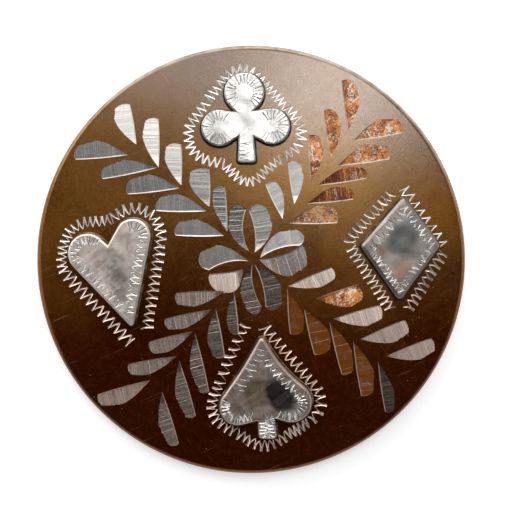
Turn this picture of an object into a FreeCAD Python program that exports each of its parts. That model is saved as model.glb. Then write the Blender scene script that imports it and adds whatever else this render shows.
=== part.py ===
"""Dealer button: a crowned disc of browned steel that carries the four card suits in silver.

The steel disc lies flat on the table.  Its crowned top is engraved with a flower of eight
petals and with four leaf sprays.  Each petal and leaf is one cut of a flat graver held over
on its corner, so the cut is deepest along one steep edge, its wall, and runs out to almost
nothing along the round edge opposite, its belly.
A heart, a club, a diamond and a spade are sawn from silver sheet, bevelled all round, filed
hollow underneath to sit on the crown and soldered down.  Each lies on its own film of solder,
which shows as a narrow seam round its foot.

Frame: millimetres, +Z up, origin at the centre of the flat underside, +Y towards the club.
One STEP file per piece is written to parts/.
"""

import FreeCAD
import Part

import math
import os
from collections import namedtuple

from FreeCAD import Placement, Rotation, Vector

# ---------------------------------------------------------------------------------------
# Driving dimensions, in millimetres and degrees
# ---------------------------------------------------------------------------------------

# Steel disc
disc_diameter = 63.5        # two and a half inches
rim_height = 2.6            # from the underside to where the crown would meet the rim
crown_rise = 1.7            # the middle of the top above that
edge_radius = 0.9           # rolled top edge
edge_facets = 3             # flats that the roll is turned in
foot_chamfer = 0.35         # broken edge round the underside

# Silver suits: length of each from top to bottom, and the slope filed round its edge
heart_length, heart_bevel = 15.7, 0.32
club_length, club_bevel = 13.3, 0.25
diamond_length, diamond_bevel = 14.9, 0.45
spade_length, spade_bevel = 14.8, 0.45
corner_ease = 0.1           # how much rounder a corner is than its bevel is wide
sheet_thickness = 1.0       # silver sheet

# Solder under and round the silver
solder_film = 0.08          # between the silver and the crown
solder_reveal = 0.24        # how far the seam shows beyond the silver
solder_rise = 0.2           # how far the seam climbs the silver's side

# Graver cuts
wall_depth = 0.30           # depth along the wall of a cut
belly_depth = 0.04          # depth where it runs out

# ---------------------------------------------------------------------------------------
# Sizes worked out from those
# ---------------------------------------------------------------------------------------

disc_radius = disc_diameter / 2
layout_unit = disc_radius / 100         # the engraving is laid out in hundredths of the radius
crown_height = rim_height + crown_rise
crown_radius = (disc_radius ** 2 + crown_rise ** 2) / (2 * crown_rise)
crown_centre = Vector(0, 0, crown_height - crown_radius)
UP = Vector(0, 0, 1)

# ---------------------------------------------------------------------------------------
# The engraver's layout, in hundredths of the disc radius and in degrees
# ---------------------------------------------------------------------------------------

# One graver cut: where its root is, which way its wall runs, how long the wall is, how wide
# the cut is at its belly, where along the wall that is, how full the back of the belly is,
# how far the wall bows towards the belly and how far the round end reaches past the wall.
# A belly to the left of the wall has a positive width.
Cut = namedtuple("Cut", "x y bearing length width belly fullness bow reach")

# The flower: four pairs of petals, each pair round an uncut eye
PETALS = [
    Cut(-1.0, 3.8, 94, 19.2, 8.8, 0.74, 0.66, 2.1, 3.0),
    Cut(1.6, 3.1, 98, 19.4, -10.2, 0.74, 0.66, 1.4, 2.8),
    Cut(4.1, 0.6, 17, 19.4, 9.2, 0.76, 0.60, 1.7, 3.2),
    Cut(3.8, 0.0, 19, 21.3, -12.6, 0.70, 0.72, 1.6, 0.6),
    Cut(0.6, -2.5, 283, 20.0, -8.6, 0.72, 0.62, 1.8, 3.0),
    Cut(1.6, -2.5, 284, 20.2, 9.9, 0.76, 0.66, 1.2, 2.6),
    Cut(-1.3, -0.9, 193, 18.7, -11.1, 0.86, 0.56, 1.8, 3.6),
    Cut(-3.8, -4.7, 187, 15.6, 9.9, 0.52, 0.94, 0.4, 1.0),
]


def leaf_row(side, belly, leaves):
    """The cuts of one row of leaves, each given by root, bearing, length and width.

    The side is 1 where the bellies lie to the left of the walls and -1 where to the right.
    """
    fullness, bow, reach = 0.42, -0.4, 0.8
    return [Cut(x, y, bearing, length, side * width, belly, fullness, bow, reach)
            for x, y, bearing, length, width in leaves]


# The leaves: each spray is a pair of rows that leave the same stem, one along it, one across
LEAVES = [
    # towards the heart and the club
    leaf_row(-1, 0.70, [(-12.6, 10.9, 180, 22.4, 7.9), (-20.8, 22.3, 180, 23.0, 8.2),
                        (-33.1, 33.0, 187, 24.4, 8.6), (-43.8, 42.5, 192, 25.6, 7.2),
                        (-57.4, 48.5, 185, 24.4, 8.4)]),
    leaf_row(1, 0.80, [(-11.0, 13.0, 93, 20.8, 6.4), (-19.3, 24.2, 90, 17.6, 9.8),
                       (-32.4, 34.3, 90, 19.2, 8.0), (-42.9, 42.6, 90, 22.7, 8.0),
                       (-53.3, 53.3, 99, 19.3, 8.6)]),
    # towards the club and the diamond
    leaf_row(-1, 0.76, [(14.6, 18.7, 117, 17.8, 5.8), (20.0, 25.6, 99, 19.4, 6.4),
                        (27.8, 36.0, 94, 21.2, 7.0), (37.0, 47.0, 99, 22.2, 7.4),
                        (45.2, 60.2, 98, 23.0, 7.8)]),
    leaf_row(1, 0.76, [(17.6, 16.7, 0, 22.2, 8.6), (26.2, 25.8, 5, 21.2, 7.0),
                       (31.0, 34.3, 8, 22.8, 6.8), (40.4, 43.5, 7, 24.0, 8.8),
                       (47.7, 55.2, 9, 23.0, 8.4)]),
    # towards the heart and the spade
    leaf_row(1, 0.82, [(-12.0, -14.6, 182, 22.8, 7.2), (-18.0, -23.2, 191, 22.4, 6.6),
                       (-27.0, -33.5, 193, 21.0, 7.0), (-34.6, -45.0, 189, 22.8, 6.8),
                       (-47.0, -56.2, 195, 25.4, 8.2)]),
    leaf_row(-1, 0.76, [(-8.0, -15.0, 277, 19.4, 5.0), (-16.4, -22.6, 281, 22.8, 7.0),
                        (-26.0, -34.4, 284, 27.6, 6.8), (-33.4, -47.0, 287, 26.8, 7.0),
                        (-41.4, -61.6, 288, 25.4, 6.8)]),
    # towards the diamond and the spade
    leaf_row(-1, 0.82, [(17.1, -12.5, 24, 22.0, 6.9), (30.2, -18.2, 19, 20.8, 9.2),
                        (38.2, -27.6, 17, 22.2, 8.2), (50.7, -37.1, 24, 22.4, 8.4),
                        (62.8, -45.0, 22, 22.6, 8.0)]),
    leaf_row(1, 0.82, [(16.8, -13.8, 273, 20.8, 7.4), (24.6, -23.0, 282, 21.6, 10.0),
                       (36.3, -29.2, 283, 25.0, 8.0), (47.4, -38.0, 278, 25.6, 8.4),
                       (59.0, -47.4, 278, 24.0, 6.0)]),
]


# ---------------------------------------------------------------------------------------
# Edges and outlines
# ---------------------------------------------------------------------------------------

def line(start, end):
    """A straight edge."""
    return Part.LineSegment(start, end).toShape()


def arc(start, through, end):
    """A round edge through three points."""
    return Part.Arc(start, through, end).toShape()


def curve(*poles):
    """A Bezier edge that leaves and arrives along its poles."""
    bezier = Part.BezierCurve()
    bezier.setPoles(list(poles))
    return bezier.toShape()


def hollow_side(first, second, radius):
    """A corner that hollows the side from one round corner to the next.

    Its centre stands a little further out than touching both, so a short straight run joins
    each pair of arcs.
    """
    (start, start_radius), (end, end_radius) = first, second
    from_start, from_end = ((radius + near) * 1.001 for near in (start_radius, end_radius))
    run = end - start
    along = (run.Length ** 2 + from_start ** 2 - from_end ** 2) / (2 * run.Length)
    outwards = Vector(run.y, -run.x, 0).normalize()
    across = math.sqrt(from_start ** 2 - along ** 2)
    return start + run.normalize() * along + outwards * across, -radius


def outline(corners, unit):
    """A closed wire laid round corners like a belt round pulleys, anticlockwise.

    Each corner is a centre and a radius in units, and straight sides run tangent from one to
    the next.  A positive radius rounds the outline outwards, a negative one hollows it, and a
    radius of nothing leaves it sharp.
    """
    corners = [(centre * unit, radius * unit) for centre, radius in corners]
    bearings = []
    for (centre, radius), (next_centre, next_radius) in zip(corners, corners[1:] + corners[:1]):
        run = next_centre - centre
        bearings.append(math.atan2(run.y, run.x) - math.asin((next_radius - radius) / run.Length))
    edges, stops = [], []
    for (centre, radius), arriving, leaving in zip(corners, bearings[-1:] + bearings, bearings):
        turn = (leaving - arriving) % (2 * math.pi)
        if radius < 0:
            turn -= 2 * math.pi
        points = [centre + Vector(math.sin(angle), -math.cos(angle), 0) * radius
                  for angle in (arriving, arriving + turn / 2, leaving)]
        stops.append((points[0], points[2]))
        if radius:
            edges.append(arc(*points))
    for (_, leaving), (arriving, _) in zip(stops, stops[1:] + stops[:1]):
        edges.append(line(leaving, arriving))
    return Part.Wire(Part.__sortEdges__(edges))


def heart_outline(tip):
    """Two unequal lobes over a point, leaning to the left."""
    return [
        (Vector(-19.8, 14.7, 0), 18.6),         # left lobe
        (Vector(21.3, -50.3, 0), tip),          # point
        (Vector(22.9, 30.6, 0), 16.6),          # right lobe
        (Vector(-0.6, 22.3, 0), 0),             # cleft
    ]


def club_outline(tip):
    """Three round lobes over a short stem that widens to its foot."""
    return [
        (Vector(-1.9, 29.3, 0), 22.2),          # top lobe
        (Vector(-11.7, 7.5, 0), 0),             # left of the neck
        (Vector(-29.3, -10.2, 0), 20.1),        # left lobe
        (Vector(-8.3, -20.3, 0), 0),
        (Vector(-6.4, -46.0, 0), tip),          # foot
        (Vector(8.3, -46.0, 0), tip),
        (Vector(9.0, -20.3, 0), 0),
        (Vector(28.9, -8.3, 0), 19.9),          # right lobe
        (Vector(8.3, 8.6, 0), 0),               # right of the neck
    ]


def diamond_outline(tip):
    """Four straight sides between rounded points."""
    return [
        (Vector(3.0, 45.6, 0), tip),
        (Vector(-35.2, 1.7, 0), tip),
        (Vector(-1.0, -46.6, 0), tip),
        (Vector(35.2, 2.3, 0), tip),
    ]


def spade_outline(tip):
    """Two broad lobes under a point, with hollow sides, on a short stem."""
    point = Vector(-3.7, 47.3, 0), tip
    left_lobe = Vector(-27.7, -18.2, 0), 18.4
    right_lobe = Vector(25.7, -13.2, 0), 20.6
    return [
        point,
        hollow_side(point, left_lobe, 330),
        left_lobe,
        (Vector(-7.8, -32.2, 0), 0),
        (Vector(-3.4, -46.3, 0), tip),          # foot
        (Vector(7.5, -46.3, 0), tip),
        (Vector(9.5, -30.0, 0), 0),
        right_lobe,
        hollow_side(right_lobe, point, 140),
    ]


# Each suit: the corners of its outline in hundredths of its length, its size and bevel, and
# the place of its middle in the layout
Suit = namedtuple("Suit", "name corners length bevel x y")

SUITS = [
    Suit("heart", heart_outline, heart_length, heart_bevel, -65.8, -4.5),
    Suit("club", club_outline, club_length, club_bevel, -2.4, 64.9),
    Suit("diamond", diamond_outline, diamond_length, diamond_bevel, 69.0, 5.3),
    Suit("spade", spade_outline, spade_length, spade_bevel, 6.7, -59.8),
]


def suit_outline(suit):
    """The sawn outline of a suit, with corners just round enough to carry its bevel."""
    unit = suit.length / 100
    return outline(suit.corners((suit.bevel + corner_ease) / unit), unit)


# ---------------------------------------------------------------------------------------
# The crown
# ---------------------------------------------------------------------------------------

def seat_on_crown(x, y, turn=0.0):
    """The placement that lays a flat drawing on the crown over a point of the layout."""
    foot = Vector(x, y, 0) * layout_unit
    rise = math.sqrt(crown_radius ** 2 - foot.x ** 2 - foot.y ** 2)
    point = foot + UP * (crown_centre.z + rise)
    return Placement(point, Rotation(UP, point - crown_centre) * Rotation(UP, turn))


def crown_ball(clearance=0.0):
    """A ball that stands off the crown by a clearance, with its poles and seam turned away."""
    ball = Part.makeSphere(crown_radius + clearance, crown_centre, Vector(0, 1, 0))
    ball.rotate(crown_centre, Vector(0, 1, 0), 180)
    return ball


# ---------------------------------------------------------------------------------------
# Pieces
# ---------------------------------------------------------------------------------------

def cut_outline(cut):
    """The outline of a graver cut, with its root at the origin and its wall along X."""
    length, width, bow, reach = (value * layout_unit
                                 for value in (cut.length, abs(cut.width), cut.bow, cut.reach))
    root, heel = Vector(), Vector(length, 0, 0)
    belly = Vector(length * cut.belly, width, 0)
    end = length + reach
    wall = arc(root, Vector(length / 2, bow, 0), heel)
    round_end = curve(heel, Vector(end + reach, width * 0.3, 0),
                      Vector(belly.x + (end - belly.x) * 0.8, width, 0), belly)
    back = curve(belly, Vector(belly.x * 0.6, width, 0),
                 Vector(belly.x * 0.25, width * cut.fullness, 0), root)
    return Part.Wire([wall, round_end, back])


def graver_cut(cut):
    """The metal that one graver cut takes away, with clear space above it."""
    width = abs(cut.width) * layout_unit
    lean = math.degrees(math.asin((wall_depth - belly_depth) / width))
    floor = Part.Face(cut_outline(cut))
    floor.rotate(Vector(), Vector(1, 0, 0), lean)
    floor.translate(-UP * wall_depth)
    chip = floor.extrude(UP * crown_height)
    if cut.width < 0:
        chip = chip.mirror(Vector(), Vector(0, 1, 0))
    chip.Placement = seat_on_crown(cut.x, cut.y, cut.bearing) * chip.Placement
    return chip


def turned_blank():
    """The disc as turned, before it is crowned, with its top edge rolled in a few facets.

    The last facet runs on above the crown, which trims it.
    """
    foot, heel = Vector(disc_radius - foot_chamfer, 0, 0), Vector(disc_radius, 0, foot_chamfer)
    roll_centre = Vector(disc_radius - edge_radius, 0, 0)
    roll_centre.z = crown_centre.z + math.sqrt((crown_radius - edge_radius) ** 2 - roll_centre.x ** 2)
    turns = [math.radians(90 * step / edge_facets) for step in range(edge_facets + 1)]
    roll = [roll_centre + Vector(math.cos(turn), 0, math.sin(turn)) * edge_radius for turn in turns]
    roll[-1] += roll[-1] - roll[-2]
    section = Part.makePolygon([Vector(), foot, heel, *roll, UP * crown_height * 2, Vector()])
    return Part.Face(section).revolve(Vector(), UP, 360)


def steel_disc():
    """The crowned disc with its flower and its leaves cut into the top."""
    disc = turned_blank().common(crown_ball())
    return disc.cut([graver_cut(cut) for cut in PETALS + sum(LEAVES, [])])


def bevelled_plate(wire, top, bevel):
    """A plate that reaches from under the crown to a height, with its top edge bevelled."""
    under = crown_rise
    blank = Part.Face(wire).extrude(UP * (top + under))
    blank.translate(-UP * under)
    return blank.makeChamfer(bevel, [edge for edge in blank.Edges if edge.BoundBox.ZMin > 0])


def silver_suit(suit):
    """One suit, bevelled round the top and filed hollow to the crown."""
    plate = bevelled_plate(suit_outline(suit), solder_film + sheet_thickness, suit.bevel)
    plate.Placement = seat_on_crown(suit.x, suit.y)
    return plate.cut(crown_ball(solder_film))


def solder_seam(suit, silver):
    """The film of solder under one suit, with the seam that shows round its foot."""
    spread = suit_outline(suit).makeOffset2D(solder_reveal)
    top = solder_film + solder_rise
    pool = bevelled_plate(spread, top, solder_rise)
    pool.Placement = seat_on_crown(suit.x, suit.y)
    return pool.cut([crown_ball(), silver])


def write(name, shape):
    """Write one piece as a STEP file and report its size."""
    solids = shape.Solids
    assert len(solids) == 1 and solids[0].isValid(), name
    solids[0].exportStep(f"parts/{name}.step")
    print(f"{name}: {solids[0].Volume:.3f} mm3, {len(solids[0].Faces)} faces")


os.makedirs("parts", exist_ok=True)
write("steel_disc", steel_disc())
for suit in SUITS:
    silver = silver_suit(suit)
    write(f"silver_{suit.name}", silver)
    write(f"{suit.name}_solder", solder_seam(suit, silver))
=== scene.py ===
"""Looks of the dealer button: an engraved disc of browned steel that carries four silver suits.

Every size below is in millimetres and every piece is made in millimetres, then brought to metres
when its mesh is finished.  The disc is turned, its flower and leaves are cut with a flat graver
and zigzag borders are walked round the suits.  The suits are sawn from silver sheet, bevelled,
engraved and laid on films of solder.
"""

from __future__ import annotations

import logging
import math
import random
from dataclasses import dataclass
from enum import Enum, IntEnum
from functools import cached_property
from typing import Callable, Iterable, Iterator, NamedTuple, Sequence

import bmesh
import bpy
from mathutils import Matrix, Vector, noise
from mathutils.bvhtree import BVHTree
from mathutils.geometry import interpolate_bezier


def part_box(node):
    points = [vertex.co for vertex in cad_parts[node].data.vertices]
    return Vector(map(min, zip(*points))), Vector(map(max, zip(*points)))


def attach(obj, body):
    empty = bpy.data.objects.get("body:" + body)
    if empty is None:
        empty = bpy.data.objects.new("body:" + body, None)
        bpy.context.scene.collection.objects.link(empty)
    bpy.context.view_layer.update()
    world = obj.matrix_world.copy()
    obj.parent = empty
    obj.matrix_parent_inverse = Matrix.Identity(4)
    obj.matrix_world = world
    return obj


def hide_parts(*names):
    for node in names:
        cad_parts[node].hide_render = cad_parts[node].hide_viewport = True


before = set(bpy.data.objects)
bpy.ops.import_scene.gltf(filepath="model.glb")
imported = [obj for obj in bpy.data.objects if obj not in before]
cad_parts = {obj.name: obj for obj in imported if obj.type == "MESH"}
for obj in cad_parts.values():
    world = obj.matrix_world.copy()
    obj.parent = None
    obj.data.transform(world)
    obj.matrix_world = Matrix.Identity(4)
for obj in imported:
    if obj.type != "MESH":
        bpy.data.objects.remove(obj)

log = logging.getLogger("dealer_button")

MM = 0.001
TURN = 2 * math.pi
UP = Vector((0, 0, 1))

# How near two vertices count as one: on a turned solid, on cut metal, and along a scored line
TURNED_WELD = 1e-3
WELD = 1e-4
HAIR = 1e-5

Colour = tuple[float, float, float]
Socket = bpy.types.NodeSocket


class Metal(IntEnum):
    """The numbers of a piece's two finishes."""

    SKIN = 0
    CUT = 1


# ---------------------------------------------------------------------------------------
# Lines and surfaces that the engraver works from
# ---------------------------------------------------------------------------------------

class Corner(NamedTuple):
    """A round corner of an outline; a negative radius hollows it and none leaves it sharp."""

    x: float
    y: float
    radius: float = 0.0

    @property
    def centre(self) -> Vector:
        """The middle of the corner's round."""
        return Vector((self.x, self.y, 0))

    def scaled(self, scale: float) -> Corner:
        """The corner scaled about the origin."""
        return Corner(self.x * scale, self.y * scale, self.radius * scale)


def hollow_side(first: Corner, second: Corner, radius: float) -> Corner:
    """A corner that hollows the side from one round corner to the next.

    Args:
        first: The corner that the side leaves.
        second: The corner that it reaches.
        radius: The radius of the hollow.

    Returns:
        A corner whose centre stands a little further out than touching both.
    """
    stand_off = 1.001
    from_first, from_second = ((radius + near.radius) * stand_off for near in (first, second))
    run = second.centre - first.centre
    along = (run.length ** 2 + from_first ** 2 - from_second ** 2) / (2 * run.length)
    outwards = Vector((run.y, -run.x, 0)).normalized()
    centre = (first.centre + run.normalized() * along
              + outwards * math.sqrt(from_first ** 2 - along ** 2))
    return Corner(centre.x, centre.y, -radius)


def lay_belt(bm: bmesh.types.BMesh, corners: Sequence[Corner], step: float
             ) -> list[bmesh.types.BMVert]:
    """Lays a line round corners like a belt round pulleys, anticlockwise.

    Args:
        bm: The mesh that takes the line's vertices.
        corners: The corners in order.
        step: The longest run between two vertices on a round.

    Returns:
        The vertices in order.
    """
    bearings = []
    for corner, following in zip(corners, [*corners[1:], corners[0]]):
        run = following.centre - corner.centre
        spread = math.asin((following.radius - corner.radius) / run.length)
        bearings.append(math.atan2(run.y, run.x) - spread)
    belt = []
    for corner, arriving, leaving in zip(corners, bearings[-1:] + bearings, bearings):
        turn = (leaving - arriving) % TURN - (TURN if corner.radius < 0 else 0)
        arm = Vector((math.sin(arriving), -math.cos(arriving), 0)) * corner.radius
        start = bm.verts.new(corner.centre + arm)
        belt.append(start)
        if corner.radius:
            laid = len(bm.verts)
            steps = max(2, math.ceil(abs(turn * corner.radius) / step))
            bmesh.ops.spin(bm, geom=[start], cent=corner.centre, axis=UP, angle=turn, steps=steps)
            bm.verts.ensure_lookup_table()
            belt += bm.verts[laid:]
    return belt


class Track:
    """A closed line to engrave along, with distances and the way out from every point."""

    STEP = 0.1
    RING_POINTS = 64

    def __init__(self, corners: Sequence[Corner], middle: Vector) -> None:
        """Lays the track.

        Args:
            corners: The corners that it runs round; a single one is a ring.
            middle: The point that bearings are taken from.
        """
        bm = bmesh.new()
        if len(corners) == 1:
            place = Matrix.Translation(corners[0].centre)
            ring = bmesh.ops.create_circle(bm, segments=self.RING_POINTS, radius=corners[0].radius,
                                           matrix=place)
            belt = sorted(ring["verts"], key=lambda v: self._bearing(v.co - corners[0].centre))
        else:
            belt = lay_belt(bm, corners, self.STEP)
        self.points = [vertex.co.copy() for vertex in belt]
        bm.free()
        self.points.append(self.points[0])
        self.middle = middle
        self.stops = [0.0]
        for point, following in zip(self.points, self.points[1:]):
            self.stops.append(self.stops[-1] + (following - point).length)

    @staticmethod
    def _bearing(arm: Vector) -> float:
        """The bearing of an arm in degrees from 0 to 360, anticlockwise from X."""
        return math.degrees(math.atan2(arm.y, arm.x)) % 360

    @property
    def length(self) -> float:
        """The length of the whole track."""
        return self.stops[-1]

    def at(self, distance: float, offset: float = 0.0) -> Vector:
        """The point at a distance along the track.

        Args:
            distance: How far along, anticlockwise.
            offset: How far to stand outside the track.

        Returns:
            The point.
        """
        distance %= self.length
        index = max(0, next(i for i, stop in enumerate(self.stops) if stop > distance) - 1)
        start, end = self.points[index], self.points[index + 1]
        run = (end - start).normalized()
        return start + run * (distance - self.stops[index]) + Vector((run.y, -run.x, 0)) * offset

    def distance_at(self, bearing: float) -> float:
        """The distance along the track where it passes a bearing from its middle."""
        def miss(distance: float) -> float:
            """How many degrees the track misses the bearing by at a distance."""
            away = self._bearing(self.at(distance) - self.middle) - bearing
            return abs((away + 180) % 360 - 180)

        return min((step * self.STEP for step in range(int(self.length / self.STEP))), key=miss)


@dataclass(frozen=True)
class Crown:
    """The disc's crowned top, a cap of a large ball.

    Attributes:
        disc_radius: The radius of the disc.
        rim_height: The height where the crown meets the rim.
        rise: How far its middle stands above that.
    """

    disc_radius: float
    rim_height: float
    rise: float

    @property
    def top(self) -> float:
        """The height of the middle of the crown."""
        return self.rim_height + self.rise

    @property
    def radius(self) -> float:
        """The radius of the ball."""
        return (self.disc_radius ** 2 + self.rise ** 2) / (2 * self.rise)

    @property
    def centre(self) -> Vector:
        """The centre of the ball."""
        return UP * (self.top - self.radius)

    def height(self, x: float, y: float) -> float:
        """The height of the crown over a point."""
        return self.centre.z + math.sqrt(self.radius ** 2 - x * x - y * y)

    def seat(self, x: float, y: float, bearing: float = 0.0) -> Matrix:
        """The placement that lays a flat drawing on the crown over a point.

        Args:
            x: The point's place along X.
            y: The point's place along Y.
            bearing: How far the drawing is turned, in degrees.

        Returns:
            The placement.
        """
        point = Vector((x, y, self.height(x, y)))
        tilt = UP.rotation_difference(point - self.centre).to_matrix().to_4x4()
        return Matrix.Translation(point) @ tilt @ Matrix.Rotation(math.radians(bearing), 4, "Z")

    def ball(self, clearance: float, reach: float, place: Vector) -> bmesh.types.BMesh:
        """The part of the ball under one piece, as a lens to cut with.

        Args:
            clearance: How far it stands off the crown.
            reach: The radius of the lens.
            place: The point that it is centred under.

        Returns:
            The lens, closed underneath.
        """
        segments, rings, thickness = 72, 16, 4.0
        bm = bmesh.new()
        radius = self.radius + clearance
        rim = math.asin(reach / radius)
        pole = bm.verts.new((0, 0, radius))
        bmesh.ops.spin(bm, geom=[pole], cent=(0, 0, 0), axis=(0, 1, 0), angle=rim, steps=rings)
        bm.verts.ensure_lookup_table()
        edge_of_lens = bm.verts[-1]
        bm.edges.new((edge_of_lens, bm.verts.new((0, 0, radius - thickness))))
        spin_solid(bm, segments)
        outwards = UP.rotation_difference(place - self.centre).to_matrix().to_4x4()
        bm.transform(Matrix.Translation(self.centre) @ outwards)
        return bm


# ---------------------------------------------------------------------------------------
# Work on meshes
# ---------------------------------------------------------------------------------------

def spin_solid(bm: bmesh.types.BMesh, segments: int) -> None:
    """Turns the section in a mesh, which begins and ends on Z, into a closed solid."""
    bmesh.ops.spin(bm, geom=bm.verts[:] + bm.edges[:], cent=(0, 0, 0), axis=UP, angle=TURN,
                   steps=segments, use_merge=True)
    bmesh.ops.remove_doubles(bm, verts=bm.verts, dist=TURNED_WELD)
    bmesh.ops.recalc_face_normals(bm, faces=bm.faces)


def let_out(belt: Sequence[bmesh.types.BMVert], reveal: float) -> None:
    """Moves a line of vertices outwards by a reveal, anticlockwise as it was laid."""
    points = [vertex.co.copy() for vertex in belt]
    for index, vertex in enumerate(belt):
        before, here, after = points[index - 1], points[index], points[(index + 1) % len(points)]
        arriving, leaving = (here - before).normalized(), (after - here).normalized()
        along = (arriving + leaving).normalized()
        vertex.co += Vector((along.y, -along.x, 0)) * reveal / along.dot(leaving)


def raise_solid(bm: bmesh.types.BMesh, faces: list[bmesh.types.BMFace], height: float
                ) -> list[bmesh.types.BMFace]:
    """Raises faces into a closed solid.

    Args:
        bm: The mesh.
        faces: The faces, which stay as the underside.
        height: How far they are raised.

    Returns:
        The faces of the new top.
    """
    raised = bmesh.ops.extrude_face_region(bm, geom=faces, use_keep_orig=True)["geom"]
    tops = [item for item in raised if isinstance(item, bmesh.types.BMFace)]
    lifted = [item for item in raised if isinstance(item, bmesh.types.BMVert)]
    bmesh.ops.translate(bm, vec=UP * height, verts=lifted)
    bmesh.ops.recalc_face_normals(bm, faces=bm.faces)
    return tops


def to_mesh(bm: bmesh.types.BMesh, name: str) -> bpy.types.Mesh:
    """The mesh of a bmesh, which is freed."""
    mesh = bpy.data.meshes.new(name)
    bm.to_mesh(mesh)
    bm.free()
    return mesh


class Blank:
    """A piece in the making, which cutters take metal from."""

    def __init__(self, name: str, bm: bmesh.types.BMesh, finishes: dict[Metal, bpy.types.Material]
                 ) -> None:
        """Takes up the piece.

        Args:
            name: The piece's name.
            bm: Its shape, in millimetres.
            finishes: The material of its skin, and of the metal that its cutters bare.
        """
        self.name = name
        self.finishes = [finishes[metal] for metal in sorted(finishes)]
        self.object = self._object(bm, name)

    def _object(self, bm: bmesh.types.BMesh, name: str) -> bpy.types.Object:
        """An object in the scene with the piece's materials.

        Args:
            bm: Its shape.
            name: Its name.

        Returns:
            The object.
        """
        mesh = to_mesh(bm, name)
        for finish in self.finishes:
            mesh.materials.append(finish)
        made = bpy.data.objects.new(name, mesh)
        bpy.context.scene.collection.objects.link(made)
        return made

    def cut(self, cutter: bmesh.types.BMesh) -> None:
        """Takes away what a cutter fills, and leaves the cutter's finish on the new faces."""
        tool = self._object(cutter, f"{self.name}_tool")
        step = self.object.modifiers.new("cut", "BOOLEAN")
        step.operation, step.solver, step.material_mode = "DIFFERENCE", "MANIFOLD", "TRANSFER"
        step.object = tool
        graph = bpy.context.evaluated_depsgraph_get()
        result = bpy.data.meshes.new_from_object(
            self.object.evaluated_get(graph), preserve_all_data_layers=True, depsgraph=graph)
        self.object.modifiers.remove(step)
        before, self.object.data = self.object.data, result
        result.name = self.name
        spent = tool.data
        bpy.data.objects.remove(tool)
        bpy.data.meshes.remove(spent)
        bpy.data.meshes.remove(before)

    def taken(self) -> bmesh.types.BMesh:
        """The piece as a cutter, taken out of the scene."""
        bm = bmesh.new()
        bm.from_mesh(self.object.data)
        bpy.data.objects.remove(self.object)
        return bm

    def true(self, facing: Callable[[Vector, Vector], Vector]) -> None:
        """Trues the shading of the smooth faces, which the cuts have broken up.

        Args:
            facing: The way that the metal faces at a point, in metres, or no length where the
                face's own smoothing holds.
        """
        mesh = self.object.data
        facings = [Vector()] * len(mesh.loops)
        for face in mesh.polygons:
            if face.use_smooth:
                for loop in face.loop_indices:
                    point = mesh.vertices[mesh.loops[loop].vertex_index].co
                    facings[loop] = facing(point, face.normal)
        mesh.normals_split_custom_set(facings)

    def finish(self, slot: str, facing: Callable[[Vector, Vector], Vector] | None = None
               ) -> bpy.types.Object:
        """Hands over the finished piece, in metres, in the place of its CAD node.

        Args:
            slot: Not used.
            facing: The way that the metal faces at a point, for pieces that are cut up.

        Returns:
            The piece's object.
        """
        bm = bmesh.new()
        bm.from_mesh(self.object.data)
        bmesh.ops.remove_doubles(bm, verts=bm.verts, dist=WELD)
        bmesh.ops.scale(bm, vec=(MM, MM, MM), verts=bm.verts)
        bm.to_mesh(self.object.data)
        bm.free()
        if facing:
            self.true(facing)
        piece = self.object
        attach(piece, "root")
        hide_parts(self.name)
        return piece


# ---------------------------------------------------------------------------------------
# Graver cuts
# ---------------------------------------------------------------------------------------

class Cut(NamedTuple):
    """One cut of the flat graver, held over on its corner, in the layout's hundredths.

    Attributes:
        x: Where its root is.
        y: Where its root is.
        bearing: The way that its wall runs from there, in degrees.
        length: The length of its wall.
        width: Its width, with the belly to the left of the wall where this is positive.
        belly: Where it is widest, as a share of its length.
        fullness: How full its back is near the root.
        bow: How far the wall bows.
        reach: How far its round end stands out past the wall.
        tone: How bright its floor is, set cut by cut: partly the metal's own finish and partly painted
            reflection and shade.
        rust: How much rust it holds.
        amber: How much old lacquer it holds.
    """

    x: float
    y: float
    bearing: float
    length: float
    width: float
    belly: float
    fullness: float
    bow: float
    reach: float
    tone: float = 0.8
    rust: float = 0.0
    amber: float = 0.0


class Groove(NamedTuple):
    """One short stroke: the points that it passes and how wide it is at each."""

    points: tuple[Vector, ...]
    widths: tuple[float, ...]
    tone: float

    def clears(self, other: Groove) -> bool:
        """Whether the chip of this stroke keeps clear of another's.

        Args:
            other: The other stroke.

        Returns:
            True where there is metal between the two, however they are bent.
        """
        far, slack = 5.0, 0.2
        if (self.points[0] - other.points[0]).length > far:
            return True
        reach = max(self.widths) + max(other.widths) + slack
        return all((here - there).length > reach for here in self.points for there in other.points)


class Look:
    """Face attributes that tell the bare metal's finish how bright and how stained it is."""

    NAMES = ("tone", "rust", "amber")

    @classmethod
    def paint(cls, bm: bmesh.types.BMesh, *values: float) -> None:
        """Gives every face of a mesh its tone, rust and amber, or none of those left out."""
        for name, value in zip(cls.NAMES, (*values, 0.0, 0.0)):
            layer = bm.faces.layers.float.get(name) or bm.faces.layers.float.new(name)
            for face in bm.faces:
                face[layer] = value


class Burr(NamedTuple):
    """One burr that the chattering graver left across a floor: its run, its slant and the painted glint
    that brightens it.
    """

    near: float
    far: float
    slant: float
    glint: float


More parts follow.
